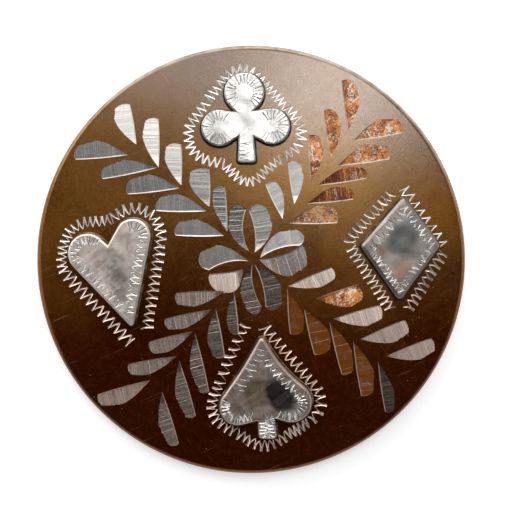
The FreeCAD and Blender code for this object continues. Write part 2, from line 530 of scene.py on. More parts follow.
class LeafChip:
    """The metal that one cut takes away, with its root at the origin and its wall along X."""

    CHATTER = 0.28                      # the usual run from one burr to the next
    LEAN = 0.60                         # how far the wall leans for each millimetre of depth
    LIFT = 0.10                         # how far the chip reaches above the metal
    RIPPLES = (-0.008, 0.002, 0.010)    # how far the floor stands up at a burr

    def __init__(self, cut: Cut, unit: float, draw: random.Random) -> None:
        """Takes up the cut.

        Args:
            cut: The cut.
            unit: The size of the layout's unit.
            draw: Where the unevenness comes from.
        """
        self.cut, self.draw = cut, draw
        self.length, self.width, self.bow, self.reach = (
            value * unit for value in (cut.length, abs(cut.width), cut.bow, cut.reach))
        self.end = self.length + self.reach
        self.burrs: list[Burr] = []

    def build(self, depth: float, shallow: float) -> bmesh.types.BMesh:
        """Makes the chip.

        Args:
            depth: The depth along the wall.
            shallow: The depth where the cut runs out.

        Returns:
            A closed mesh that reaches a little above the surface, with a chattered floor.
        """
        bm = bmesh.new()
        outline = bm.faces.new([bm.verts.new(point) for point in self._outline()])
        edge_points = set(outline.verts)
        self._chatter(bm)
        fresh = sorted((v for v in bm.verts if v not in edge_points), key=lambda v: v.co.x)
        ripple = {v: self.draw.choice(self.RIPPLES) * self.draw.uniform(0.5, 1.4) for v in fresh}
        tops = raise_solid(bm, bm.faces[:], self.LIFT)
        top_points = {v for face in tops for v in face.verts}
        for vertex in bm.verts:
            share = min(1.0, max(0.0, vertex.co.y / self.width))
            here = (depth + (shallow - depth) * share) * self._entry(vertex.co.x)
            if vertex in top_points:
                vertex.co.y -= self.LIFT * self.LEAN * (1 - share)
            else:
                vertex.co.z = -here + ripple.get(vertex, 0.0) * (0.4 + 0.6 * share)
                vertex.co.y += here * self.LEAN * (1 - share)
        if self.cut.width < 0:
            bmesh.ops.scale(bm, vec=(1, -1, 1), verts=bm.verts)
            bmesh.ops.reverse_faces(bm, faces=bm.faces)
        bmesh.ops.recalc_face_normals(bm, faces=bm.faces)
        self._paint(bm)
        return bm

    def _outline(self) -> list[Vector]:
        """The wall, the round end and the back, from the root round to the root again."""
        length, width, end = self.length, self.width, self.end
        root, heel = Vector(), Vector((length, 0, 0))
        belly = Vector((length * self.cut.belly, width, 0))
        bow = self.bow * 1.33
        wall = interpolate_bezier(root, Vector((length / 3, bow, 0)),
                                  Vector((length * 2 / 3, bow, 0)), heel, 16)
        round_end = interpolate_bezier(
            heel, Vector((end + self.reach, width * 0.3, 0)),
            Vector((belly.x + (end - belly.x) * 0.8, width, 0)), belly, 12)
        back = interpolate_bezier(
            belly, Vector((belly.x * 0.6, width, 0)),
            Vector((belly.x * 0.25, width * self.cut.fullness, 0)), root, 14)
        return wall[:-1] + round_end[:-1] + back[:-1]

    def _chatter(self, bm: bmesh.types.BMesh) -> None:
        """Scores the floor on both sides of every burr, and keeps the burrs."""
        station = 0.25
        while station < self.end:
            slant, breadth = self.draw.uniform(-0.07, 0.07), self.draw.uniform(0.05, 0.10)
            far = station + breadth
            for at in (station, far):
                geometry = bm.verts[:] + bm.edges[:] + bm.faces[:]
                bmesh.ops.bisect_plane(bm, geom=geometry, dist=HAIR, plane_co=(at, 0, 0),
                                       plane_no=(1, slant, 0))
            self.burrs.append(Burr(station, far, slant, self.draw.uniform(-0.06, 0.34)))
            station += breadth + self.CHATTER * self.draw.uniform(0.5, 1.3)

    def _entry(self, x: float) -> float:
        """How far the graver has sunk in beyond the root, as a share of its full depth."""
        if x <= -0.1:
            return 0.3
        return max(0.25, min(1.0, (x + 0.15) / (0.22 * self.length)) ** 0.7)

    def _paint(self, bm: bmesh.types.BMesh) -> None:
        """Makes every face bare metal, with random shades and painted glints on the floor and a wall
        painted bright, a painted highlight.
        """
        cut, flat, painted_wall_highlight = self.cut, 0.8, 1.5
        Look.paint(bm, cut.tone, cut.rust, cut.amber)
        tone, rust = (bm.faces.layers.float[name] for name in Look.NAMES[:2])
        for face in bm.faces:
            face.material_index = Metal.CUT
            middle = face.calc_center_median()
            across = math.copysign(1, cut.width) * middle.y
            if abs(face.normal.z) > flat:
                shade = 0.56 + 0.12 * noise.noise(Vector((middle.x * 1.4, cut.x, cut.y)))
                if cut.rust > 0.4:
                    shade *= min(1.0, 0.25 + 1.3 * middle.x / self.end)
                # painted glints: the burrs are painted brighter than the floor between them
                glint = sum(burr.glint for burr in self.burrs
                            if burr.near < middle.x + burr.slant * across < burr.far)
                face[tone] = cut.tone * shade + glint
            # the wall is painted bright, a painted highlight along it
            elif across < self.width * 0.5 and middle.x < self.length:
                face[tone], face[rust] = max(painted_wall_highlight, cut.tone), cut.rust * 0.5


class Gouger:
    """Gathers the V-shaped chips of many short strokes into a few cutters."""

    STATIONS = 4
    CORNERS = 3

    def __init__(self, surface: Callable[[float, float], float], steepness: float = 0.32,
                 shaded: float = 0.42) -> None:
        """Takes up the graver.

        Args:
            surface: The height of the metal over a point.
            steepness: The depth of a stroke as a share of its width.
            shaded: How bright the side of a stroke painted as shaded is beside the lit side.
        """
        self.surface = surface
        self.steepness = steepness
        # painted light and shade: the three sides of every chip are painted bright, shaded and half lit
        self.shades = (1.0, shaded, 0.8)
        self.chip = self._chip()
        self.grooves: list[Groove] = []

    def walk(self, strokes: Iterable[tuple[Groove, Groove]]) -> None:
        """Adds the strokes of a run, which come in pairs."""
        for pair in strokes:
            self.grooves.extend(pair)

    def _chip(self) -> bpy.types.Mesh:
        """A three-cornered bar with its rings of vertices in order, for every stroke to bend."""
        bm = bmesh.new()
        bmesh.ops.create_circle(bm, cap_ends=True, segments=self.CORNERS, radius=1)
        end = bm.faces[:]
        for _ in range(self.STATIONS - 1):
            whole = [*end, *end[0].edges, *end[0].verts]
            raised = bmesh.ops.extrude_face_region(bm, geom=whole)["geom"]
            end = [item for item in raised if isinstance(item, bmesh.types.BMFace)]
            bmesh.ops.translate(bm, vec=UP, verts=end[0].verts)
        bm.verts.sort(key=lambda v: round(v.co.z) * TURN + math.atan2(v.co.y, v.co.x) % TURN)
        bmesh.ops.recalc_face_normals(bm, faces=bm.faces)
        for face in bm.faces:
            face.material_index = Metal.CUT
        return to_mesh(bm, "chip")

    def cutters(self) -> list[bmesh.types.BMesh]:
        """Cutters with every stroke that was added, none of which meet in one cutter."""
        sets: list[list[Groove]] = []
        for groove in self.grooves:
            clear = [chosen for chosen in sets if all(groove.clears(other) for other in chosen)]
            if clear:
                clear[0].append(groove)
            else:
                sets.append([groove])
        return [self._cutter(chosen) for chosen in sets]

    def _cutter(self, grooves: Sequence[Groove]) -> bmesh.types.BMesh:
        """One cutter of strokes that keep clear of one another."""
        bm = bmesh.new()
        for _ in grooves:
            bm.from_mesh(self.chip)
        bm.verts.ensure_lookup_table()
        bm.faces.ensure_lookup_table()
        tone = bm.faces.layers.float.new("tone")
        for name in Look.NAMES[1:]:
            bm.faces.layers.float.new(name)
        corners, sides = self.CORNERS * self.STATIONS, self.CORNERS * (self.STATIONS - 1) + 2
        for index, groove in enumerate(grooves):
            rings = bm.verts[index * corners:(index + 1) * corners]
            self._bend(rings, groove)
            for side, face in enumerate(bm.faces[index * sides:(index + 1) * sides]):
                # each side takes its painted light or shade
                face[tone] = groove.tone * self.shades[(side + index) % len(self.shades)]
        return bm

    def _bend(self, rings: Sequence[bmesh.types.BMVert], groove: Groove) -> None:
        """Lays one bar along its stroke.

        Args:
            rings: The bar's vertices, ring by ring.
            groove: The stroke.
        """
        points = groove.points
        for station, (point, width) in enumerate(zip(points, groove.widths)):
            before, after = points[max(0, station - 1)], points[min(len(points) - 1, station + 1)]
            run = (after - before).normalized()
            across = Vector((-run.y, run.x, 0)) * width
            ground = self.surface(point.x, point.y)
            depth = width * self.steepness
            left, right, root = rings[station * self.CORNERS:(station + 1) * self.CORNERS]
            left.co = point + across + UP * (ground + depth)
            right.co = point - across + UP * (ground + depth)
            root.co = point + UP * (ground - depth)


@dataclass(frozen=True)
class Wriggle:
    """A run of zigzag, walked along a track from one corner of the graver to the other.

    Attributes:
        start: The bearing where the run starts, anticlockwise.
        stop: The bearing where it ends.
        inner: How far the inner turns stand outside the track.
        outer: How far the outer turns do.
        pitch: The distance from one outer turn to the next.
        bold: The width of a stroke at its outer end.
        fine: The width of a stroke at its inner end.
        back: The width of the stroke back, as a share of the stroke out.
        skew: Where the outer turn lies between two inner ones.
        hook: How much a stroke bends, as a share of its length.
        tone: How bright the strokes are.
    """

    start: float
    stop: float
    inner: float
    outer: float
    pitch: float = 1.0
    bold: float = 0.26
    fine: float = 0.16
    back: float = 0.8
    skew: float = 0.5
    hook: float = 0.0
    tone: float = 1.0

    def strokes(self, track: Track, draw: random.Random) -> Iterator[tuple[Groove, Groove]]:
        """The strokes of the run.

        Args:
            track: The line that it follows.
            draw: Where the unevenness of handwork comes from.

        Yields:
            Pairs of a stroke out and the stroke back.
        """
        begin, end = track.distance_at(self.start), track.distance_at(self.stop)
        if end <= begin:
            end += track.length
        count = max(1, round((end - begin) / self.pitch))
        pitch = (end - begin) / count
        turns = [track.at(begin + pitch * (i + draw.uniform(-0.08, 0.08)),
                          self.inner + draw.uniform(-0.08, 0.08)) for i in range(count + 1)]
        for index, (near, following) in enumerate(zip(turns, turns[1:])):
            far = track.at(begin + pitch * (index + self.skew + draw.uniform(-0.07, 0.07)),
                           self.outer + draw.uniform(-0.12, 0.12))
            tone = self.tone * draw.uniform(0.62, 1.1)
            yield (self._stroke(near, far, 1.0, self.hook, tone, draw),
                   self._stroke(following, far, self.back, -self.hook * 0.5, tone * 0.9, draw))

    def _stroke(self, near: Vector, far: Vector, share: float, hook: float, tone: float,
                draw: random.Random) -> Groove:
        """One stroke from an inner turn to an outer one.

        Args:
            near: The inner turn.
            far: The outer turn.
            share: How wide the stroke is, as a share of the run's strokes out.
            hook: How much it bends, as a share of its length.
            tone: How bright it is.
            draw: Where the unevenness of handwork comes from.

        Returns:
            The stroke.
        """
        run = far - near
        near = near - run.normalized() * draw.uniform(0.01, 0.06)
        far = far + run.normalized() * draw.uniform(0.01, 0.06)
        side = Vector((-run.y, run.x, 0))
        bend = near.lerp(far, 0.5) + side * (hook + draw.uniform(-0.03, 0.03))
        points, widths = [], []
        for station in range(Gouger.STATIONS):
            t = station / (Gouger.STATIONS - 1)
            points.append(near.lerp(bend, t).lerp(bend.lerp(far, t), t))
            widths.append((self.fine + (self.bold - self.fine) * t) * share * draw.uniform(0.85, 1.15))
        return Groove(tuple(points), tuple(widths), tone)


# ---------------------------------------------------------------------------------------
# Finishes
# ---------------------------------------------------------------------------------------

class Graph:
    """Builds the nodes of one material, on object coordinates in millimetres."""

    def __init__(self, name: str) -> None:
        """Starts a material with its shader."""
        self.material = bpy.data.materials.new(name)
        self.material.use_nodes = True
        self.tree = self.material.node_tree
        self.shader = self.tree.nodes["Principled BSDF"]

    @cached_property
    def place(self) -> Socket:
        """Object coordinates in millimetres."""
        metres = self.node("TexCoord").outputs["Object"]
        return self.vector("SCALE", metres, Scale=1 / MM).outputs[0]

    def node(self, kind: str, inputs: dict[str | int, object] | None = None, **settings: object
             ) -> bpy.types.Node:
        """Adds a node.

        Args:
            kind: The node's type, without the ShaderNode that every type begins with.
            inputs: Values or sockets for its inputs, by name or number.
            **settings: Its properties.

        Returns:
            The node.
        """
        node = self.tree.nodes.new(f"ShaderNode{kind}")
        for name, value in settings.items():
            setattr(node, name, value)
        for name, value in (inputs or {}).items():
            self.put(node.inputs[name], value)
        return node

    def put(self, socket: Socket, value: object) -> None:
        """Sets a socket, or links it to another."""
        if isinstance(value, Socket):
            self.tree.links.new(value, socket)
        elif isinstance(value, tuple) and socket.type == "RGBA":
            socket.default_value = (*value, 1.0)
        else:
            socket.default_value = value

    def dress(self, **inputs: object) -> bpy.types.Material:
        """Sets the shader's inputs by name, with underscores for spaces, and returns the material."""
        for name, value in inputs.items():
            self.put(self.shader.inputs[name.replace("_", " ")], value)
        return self.material

    def stretched(self, scale: tuple[float, float, float], turn: float = 0.0) -> Socket:
        """Coordinates to draw streaks on.

        Args:
            scale: How much finer things are along each axis.
            turn: How far they are turned about Z, in degrees.

        Returns:
            The coordinates.
        """
        return self.node("Mapping", {
            "Vector": self.place, "Rotation": (0, 0, math.radians(turn)),
            "Scale": tuple(1 / s for s in scale)}, vector_type="TEXTURE").outputs[0]

    def noise(self, size: float, detail: float = 3.0, rough: float = 0.55,
              place: Socket | None = None) -> Socket:
        """Soft noise.

        Args:
            size: The size of its blobs.
            detail: How many finer layers it has.
            rough: How strong those are.
            place: The coordinates, if not the object's own.

        Returns:
            A number from 0 to 1.
        """
        return self.node("TexNoise", {"Vector": place or self.place, "Scale": 1 / size,
                                      "Detail": detail, "Roughness": rough}).outputs[0]

    def math(self, operation: str, first: object, second: object, clamp: bool = False) -> Socket:
        """A sum on two numbers.

        Args:
            operation: The node's name for the sum.
            first: A number or a socket.
            second: A number or a socket.
            clamp: Whether the result is kept between 0 and 1.

        Returns:
            The result.
        """
        return self.node("Math", {0: first, 1: second}, operation=operation, use_clamp=clamp).outputs[0]

    def add(self, first: object, second: object) -> Socket:
        """One number and another together."""
        return self.math("ADD", first, second)

    def subtract(self, first: object, second: object) -> Socket:
        """What one number leaves of another."""
        return self.math("SUBTRACT", first, second)

    def multiply(self, first: object, second: object) -> Socket:
        """One number times another."""
        return self.math("MULTIPLY", first, second)

    def larger(self, first: object, second: object) -> Socket:
        """The larger of two numbers."""
        return self.math("MAXIMUM", first, second)

    def vector(self, operation: str, first: object, second: object = None, **inputs: object
               ) -> bpy.types.Node:
        """A sum on one or two vectors.

        Args:
            operation: The node's name for the sum.
            first: A vector or a socket.
            second: A vector or a socket, where the sum takes two.
            **inputs: Any further inputs.

        Returns:
            The node, which has a vector for some sums and a number for others.
        """
        given = {0: first, **inputs} if second is None else {0: first, 1: second, **inputs}
        return self.node("VectorMath", given, operation=operation)

    def length(self, vector: object) -> Socket:
        """How long a vector is."""
        return self.vector("LENGTH", vector).outputs["Value"]

    def span(self, value: object, low: float, high: float, to_low: float = 0.0, to_high: float = 1.0
             ) -> Socket:
        """A number carried smoothly from one range to another.

        Args:
            value: The number.
            low: Where it starts to tell.
            high: Where it stops.
            to_low: What it becomes below the first.
            to_high: What it becomes above the second.

        Returns:
            The number in its new range.
        """
        return self.node("MapRange", {
            "Value": value, "From Min": low, "From Max": high, "To Min": to_low,
            "To Max": to_high}, interpolation_type="SMOOTHSTEP").outputs[0]

    def mix(self, factor: object, first: object, second: object) -> Socket:
        """A colour between two.

        Args:
            factor: How far it is from the first to the second.
            first: A colour or a socket.
            second: A colour or a socket.

        Returns:
            The colour.
        """
        return self.node("Mix", {0: factor, 6: first, 7: second}, data_type="RGBA").outputs[2]

    def value(self, name: str) -> Socket:
        """A face attribute by name."""
        return self.node("Attribute", attribute_name=name).outputs["Fac"]

    def axis(self, name: str) -> Socket:
        """One coordinate in millimetres."""
        return self.node("SeparateXYZ", {0: self.place}).outputs[name]

    def blob(self, x: float, y: float, radius: float, soft: float, stretch: float = 1.0,
             turn: float = 0.0, wobble: float = 0.0) -> Socket:
        """A soft round patch on the layout, 1 inside and 0 outside.

        Args:
            x: Where its middle is.
            y: Where its middle is.
            radius: Its radius.
            soft: How wide its soft edge is.
            stretch: How much longer it is along its own X.
            turn: How far it is turned, in degrees.
            wobble: How uneven its edge is.

        Returns:
            The patch.
        """
        any_height = 1000
        distance = self.length(self.node("Mapping", {
            "Vector": self.place, "Location": (x, y, 0), "Rotation": (0, 0, math.radians(turn)),
            "Scale": (stretch, 1, any_height)}, vector_type="TEXTURE").outputs[0])
        if wobble:
            distance = self.add(distance, self.multiply(self.noise(1.6, 5.0, 0.7), wobble))
        return self.span(distance, radius - soft / 2, radius + soft / 2, 1.0, 0.0)

    def bump(self, height: object, size: float, strength: float = 1.0, normal: Socket | None = None
             ) -> Socket:
        """A normal from a height.

        Args:
            height: The height, from 0 to 1.
            size: What 1 stands for, in millimetres.
            strength: How much of it tells.
            normal: The normal that it is laid on, if not the mesh's own.

        Returns:
            The normal.
        """
        inputs = {"Height": height, "Distance": size * MM, "Strength": strength}
        if normal is not None:
            inputs["Normal"] = normal
        return self.node("Bump", inputs).outputs[0]


@dataclass(frozen=True)
class BrownedSteel:
    """The disc's skin: steel browned by controlled rust, oiled and rubbed to a gloss."""

    ochre: Colour = (0.125, 0.046, 0.0045)
    umber: Colour = (0.072, 0.023, 0.0018)
    amber: Colour = (0.19, 0.066, 0.004)
    oxblood: Colour = (0.024, 0.002, 0.0003)
    worn: Colour = (0.22, 0.13, 0.07)
    # the pale rim at the top: partly wear, partly a painted glare
    pale_edge_glare: Colour = (0.50, 0.42, 0.33)
    russet: Colour = (0.15, 0.026, 0.005)
    speck: Colour = (0.42, 0.27, 0.15)
    pit: Colour = (0.006, 0.003, 0.002)
    bright_film: Colour = (1.0, 0.84, 0.72)
    deep_film: Colour = (1.0, 0.58, 0.22)
    red_film: Colour = (1.0, 0.34, 0.08)

    def material(self) -> bpy.types.Material:
        """Builds the material."""
        g = Graph("browned_steel")
        clouds, mottle, grain = g.noise(13.0, 3.0, 0.5), g.noise(0.9, 5.0, 0.7), g.noise(0.24, 3.0, 0.7)
        low = g.larger(g.span(g.add(g.axis("Y"), g.multiply(clouds, 12.0)), -7.0, 13.0, 1.0, 0.0),
                       g.blob(1.5, -7.5, 4.0, 9.0, 1.3, 0.0, 3.0))
        high = g.add(g.add(g.multiply(g.axis("X"), 0.2), g.multiply(g.axis("Y"), 0.95)),
                     g.multiply(clouds, 6.0))
        brown = self._ground(g, clouds, low)
        brown = self._pitted(g, brown, mottle, grain, g.mix(low, self.worn, self.russet))
        brown = self._rim_wear_and_glare(g, brown, high)
        film = g.mix(g.span(high, -2.0, 12.0), self.red_film, self.deep_film)
        film = g.mix(g.span(high, 14.0, 28.0), film, self.bright_film)
        rough = g.span(g.add(mottle, g.multiply(clouds, 0.6)), 0.5, 1.1, 0.14, 0.24)
        skin = g.bump(g.noise(5.5, 2.0), 0.05, 0.4, g.bump(grain, 0.026, 0.6))
        return g.dress(Base_Color=brown, Roughness=rough, IOR=2.05, Specular_Tint=film, Normal=skin)

    def _ground(self, g: Graph, clouds: Socket, low: Socket) -> Socket:
        """The brown itself, which is red towards the bottom and amber beside the diamond.

        Args:
            g: The material's nodes.
            clouds: Broad noise.
            low: How far down the disc a point is.

        Returns:
            The colour.
        """
        brown = g.mix(g.span(clouds, 0.35, 0.65), self.umber, self.ochre)
        brown = g.mix(g.multiply(low, 0.92), brown, self.oxblood)
        return g.mix(g.multiply(g.blob(27.5, 7.5, 6.5, 9.0, 1.0, 0.0, 3.0), 0.8), brown, self.amber)

    def _pitted(self, g: Graph, brown: Socket, mottle: Socket, grain: Socket, worn: Socket) -> Socket:
        """The brown with its mottle, its grain and a few pale specks.

        Args:
            g: The material's nodes.
            brown: The brown.
            mottle: Fine noise.
            grain: Finer noise.
            worn: The colour that wear leaves.

        Returns:
            The colour.
        """
        brown = g.mix(g.span(mottle, 0.42, 0.8, 0.0, 0.20), brown, worn)
        brown = g.mix(g.span(grain, 0.52, 0.75, 0.0, 0.32), brown, worn)
        brown = g.mix(g.span(grain, 0.46, 0.30, 0.0, 0.6), brown, self.pit)
        dots = g.node("TexVoronoi", {"Vector": g.place, "Scale": 0.9, "Randomness": 1.0})
        spots = g.multiply(g.span(dots.outputs["Distance"], 0.03, 0.09, 1.0, 0.0),
                           g.span(g.noise(4.0), 0.48, 0.60))
        return g.mix(g.multiply(spots, 0.8), brown, self.speck)

    def _rim_wear_and_glare(self, g: Graph, brown: Socket, high: Socket) -> Socket:
        """The brown rubbed away along the rim and scratched; the rim is painted paler towards the top,
        partly wear and partly a painted glare.

        Args:
            g: The material's nodes.
            brown: The brown.
            high: How far up the disc a point is, in millimetres.

        Returns:
            The colour.
        """
        # painted glare: the rim turns paler the higher it stands on the disc, partly wear and partly a
        # painted highlight along the top edge
        wear_and_glare = g.span(high, 8.0, 27.0, 0.25, 0.95)
        radius = g.length(g.vector("MULTIPLY", g.place, (1, 1, 0)).outputs[0])
        rub_and_glare = g.multiply(g.multiply(g.span(radius, 31.0, 31.5), wear_and_glare),
                         g.span(g.noise(2.2, 4.0), 0.35, 0.6, 0.4, 1.0))
        brown = g.mix(rub_and_glare, brown, g.mix(wear_and_glare, self.worn, self.pale_edge_glare))
        scratches = g.larger(self._scratch(g, 24, 0.70), self._scratch(g, -58, 0.72))
        return g.mix(g.multiply(scratches, 0.5), brown, self.worn)

    @staticmethod
    def _scratch(g: Graph, turn: float, level: float) -> Socket:
        """Long thin scratches that run one way.

        Args:
            g: The material's nodes.
            turn: The way that they run, in degrees.
            level: How few there are.

        Returns:
            1 in a scratch and 0 outside.
        """
        lines = g.noise(1.0, 2.0, 0.5, g.stretched((0.09, 4.5, 1.0), turn))
        return g.span(lines, level, level + 0.04)


@dataclass(frozen=True)
class CutSteel:
    """Steel laid bare by the graver: bright, with rust and old lacquer in some of the cuts."""

    steel: Colour = (0.95, 0.925, 0.89)
    warm_low: Colour = (0.96, 0.74, 0.63)
    dull: Colour = (0.080, 0.067, 0.057)
    bloom: Colour = (0.86, 0.36, 0.075)
    rust: Colour = (0.50, 0.145, 0.016)
    crust: Colour = (0.12, 0.024, 0.009)
    lacquer: Colour = (0.17, 0.050, 0.003)
    fleck_and_glint: Colour = (0.90, 0.80, 0.68)

    def material(self) -> bpy.types.Material:
        """Builds the material, which reads the faces' tone, rust and amber."""
        g = Graph("cut_steel")
        fine = g.noise(0.22, 4.0, 0.65)
        tone = g.add(g.value("tone"), g.span(fine, 0.3, 0.7, -0.10, 0.10))
        # the bare steel turns warmer towards the bottom of the disc
        steel = g.mix(g.span(g.add(g.axis("Y"), g.noise(6.0)), -6.0, 4.0), self.warm_low, self.steel)
        metal = g.mix(g.math("ADD", tone, 0.0, clamp=True), self.dull, steel)
        rusty = g.span(g.add(g.noise(0.42, 4.0, 0.75), g.value("rust")), 0.82, 0.96)
        amber = g.multiply(g.value("amber"), g.span(g.noise(1.3, 3.0), 0.25, 0.5, 0.85, 1.0))
        colour = g.mix(g.multiply(rusty, 0.95), metal, self._stain(g, tone))
        colour = g.mix(amber, colour, self._varnish(g, tone))
        cover = g.larger(g.multiply(rusty, 0.88), g.multiply(amber, 0.95))
        # the brightest faces, the walls and strokes with their painted highlights, turn matt so that they
        # show bright from every side
        metallic_share = g.subtract(1.0, g.span(tone, 1.1, 1.5, 0.0, 0.45))
        return g.dress(
            Base_Color=colour,
            Metallic=g.multiply(metallic_share, g.subtract(1.0, cover)),
            Specular_IOR_Level=g.subtract(0.5, g.multiply(cover, 0.42)),
            Roughness=g.add(g.span(fine, 0.3, 0.7, 0.30, 0.44), g.multiply(rusty, 0.2)),
            Normal=g.bump(fine, 0.012, 0.5))

    def _stain(self, g: Graph, tone: Socket) -> Socket:
        """Rust: dark crust, red and orange bloom, with pale flecks where the metal is bright.

        Args:
            g: The material's nodes.
            tone: How bright the metal is.

        Returns:
            The colour.
        """
        heat = g.add(g.multiply(g.noise(1.6, 2.0), 0.45), g.multiply(g.noise(0.32, 4.0, 0.7), 0.55))
        stain = g.mix(g.span(heat, 0.41, 0.49), self.crust, self.rust)
        stain = g.mix(g.span(heat, 0.50, 0.58), stain, self.bloom)
        clumps = g.add(g.noise(0.30, 4.0, 0.7, g.stretched((1, 1, 1), 31)),
                       g.multiply(g.noise(1.9, 2.0), 0.6))
        stain = g.mix(g.span(tone, 0.12, 0.40), self.crust, stain)
        flecks = g.multiply(g.span(clumps, 0.84, 0.92), g.span(tone, 0.25, 0.45))
        return g.mix(flecks, stain, self.fleck_and_glint)

    def _varnish(self, g: Graph, tone: Socket) -> Socket:
        """Old lacquer, which shows the metal through it where that is bright, and goes pale on the burrs
        as a painted highlight.

        Args:
            g: The material's nodes.
            tone: How bright the metal is.

        Returns:
            The colour.
        """
        varnish = g.mix(g.span(tone, 0.1, 0.6, 0.3, 1.0), self.crust, self.lacquer)
        # painted highlight: the bright burrs show pale through the lacquer
        return g.mix(g.span(tone, 0.60, 0.95, 0.0, 0.5), varnish, self.fleck_and_glint)


class Patch(NamedTuple):
    """A patch painted on the silver: a painted reflection, highlight or shade.

    Attributes:
        x: Where its middle is.
        y: Where its middle is.
        radius: Its radius.
        soft: How wide its soft edge is.
        stretch: How much longer it is along its own X.
        turn: How far it is turned, in degrees.
        colour: Its colour.
        amount: How much of the silver it covers.
    """

    x: float
    y: float
    radius: float
    soft: float
    stretch: float
    turn: float
    colour: Colour
    amount: float


@dataclass(frozen=True)
class Silver:
    """Polished sheet silver, with patches of painted reflection, highlight and shade."""

    name: str
    body: Colour
    warm: Colour
    painted_light_patches: tuple[Patch, ...]
    rough: float = 0.31

    def material(self) -> bpy.types.Material:
        """Builds the material."""
        g = Graph(self.name)
        colour = g.mix(g.span(g.noise(2.6, 3.0), 0.4, 0.72, 0.0, 0.6), self.body, self.warm)
        # painted reflections, highlights and shade, fixed on the metal
        for patch in self.painted_light_patches:
            *shape, tint, amount = patch
            colour = g.mix(g.multiply(g.blob(*shape, wobble=1.0), amount), colour, tint)
        marks = g.noise(1.0, 3.0, 0.6, g.stretched((0.07, 2.2, 1.0), 35))
        scuffs = g.span(marks, 0.54, 0.62)
        colour = g.mix(g.multiply(scuffs, 0.1), colour, self.body)
        rough = g.add(g.span(g.noise(0.8, 4.0), 0.3, 0.7, self.rough - 0.05, self.rough + 0.06),
                      g.multiply(scuffs, 0.06))
        waves = g.bump(g.noise(2.2, 2.0), 0.04, 0.5)
        face = g.bump(marks, 0.0015, 0.5, waves)
        return g.dress(Base_Color=colour, Metallic=1.0, Roughness=rough, Normal=face)


@dataclass(frozen=True)
class CutSilver:
    """Silver as the graver leaves it: pale and matt, with painted shade on one side of each cut."""

    pale: Colour = (0.95, 0.93, 0.89)
    # dark is the painted shade on the shaded side of a cut
    dark: Colour = (0.05, 0.042, 0.036)

    def material(self) -> bpy.types.Material:
        """Builds the material, which reads the faces' tone."""
        g = Graph("cut_silver")
        fine = g.noise(0.2, 3.0, 0.6)
        tone = g.math("ADD", g.value("tone"), g.span(fine, 0.3, 0.7, -0.12, 0.08), clamp=True)
        return g.dress(Base_Color=g.mix(tone, self.dark, self.pale), Metallic=0.6, Roughness=0.42,
                       Normal=g.bump(fine, 0.01, 0.5))


@dataclass(frozen=True)
class SolderMetal:
    """Silver solder, dull and a little warm, darkened by grime at random and by painted shade, and painted
    pale on its side towards the light.
    """

    # pale is the solder where it is painted lit; dark is grime and painted shadow
    pale: Colour = (0.26, 0.18, 0.11)
    dark: Colour = (0.012, 0.007, 0.004)
    lit_side: tuple[float, float, float] = (0.5, 0.8, 0.0)

    def material(self) -> bpy.types.Material:
        """Builds the material."""
        g = Graph("solder")
        normal = g.node("NewGeometry").outputs["Normal"]
        side = g.vector("DOT_PRODUCT", normal, self.lit_side).outputs["Value"]
        # painted light and shade: faces turned up and to the right, towards the lamps, are painted pale
        # and the rest dark
        bare = g.add(g.noise(1.6, 4.0, 0.65), g.multiply(side, 0.3))
        colour = g.mix(g.span(bare, 0.50, 0.72), self.dark, self.pale)
        return g.dress(Base_Color=colour, Metallic=0.4, Roughness=0.42,
                       Normal=g.bump(g.noise(0.25, 3.0), 0.015, 0.5))


# ---------------------------------------------------------------------------------------
# The disc
# ---------------------------------------------------------------------------------------

# The flower: four pairs of petals, each pair round an uncut eye
# Each petal's tone is partly its finish and partly painted reflection and shade.
PETALS = (
    Cut(-1.0, 3.8, 94, 19.2, 8.8, 0.74, 0.66, 2.1, 3.0, 0.15),
    Cut(1.6, 3.1, 98, 19.4, -10.2, 0.74, 0.66, 1.4, 2.8, 1.0),
    Cut(4.1, 0.6, 17, 19.4, 9.2, 0.76, 0.60, 1.7, 3.2, 2.4, 0.25),
    Cut(3.8, 0.0, 19, 21.3, -12.6, 0.70, 0.72, 1.6, 0.6, 0.2),
    Cut(0.6, -2.5, 283, 20.0, -8.6, 0.72, 0.62, 1.8, 3.0, 0.1),
    Cut(1.6, -2.5, 284, 20.2, 9.9, 0.76, 0.66, 1.2, 2.6, 0.25),
    Cut(-1.3, -0.9, 193, 18.7, -11.1, 0.86, 0.56, 1.8, 3.6, 1.1),
    Cut(-3.8, -4.7, 187, 15.6, 9.9, 0.52, 0.94, 0.4, 1.0, 0.7),
)


def leaf_row(side: int, belly: float, leaves: Sequence[tuple[float, ...]]) -> tuple[Cut, ...]:
    """The cuts of one row of leaves.

    Args:
        side: 1 where the bellies lie to the left of the walls and -1 where to the right.
        belly: Where the belly is along the wall.
        leaves: Root, bearing, length, width, tone and stains of each.

    Returns:
        The cuts.
    """
    fullness, bow, reach = 0.42, -0.4, 0.8
    return tuple(Cut(x, y, bearing, length, side * width, belly, fullness, bow, reach, *looks)
                 for x, y, bearing, length, width, *looks in leaves)
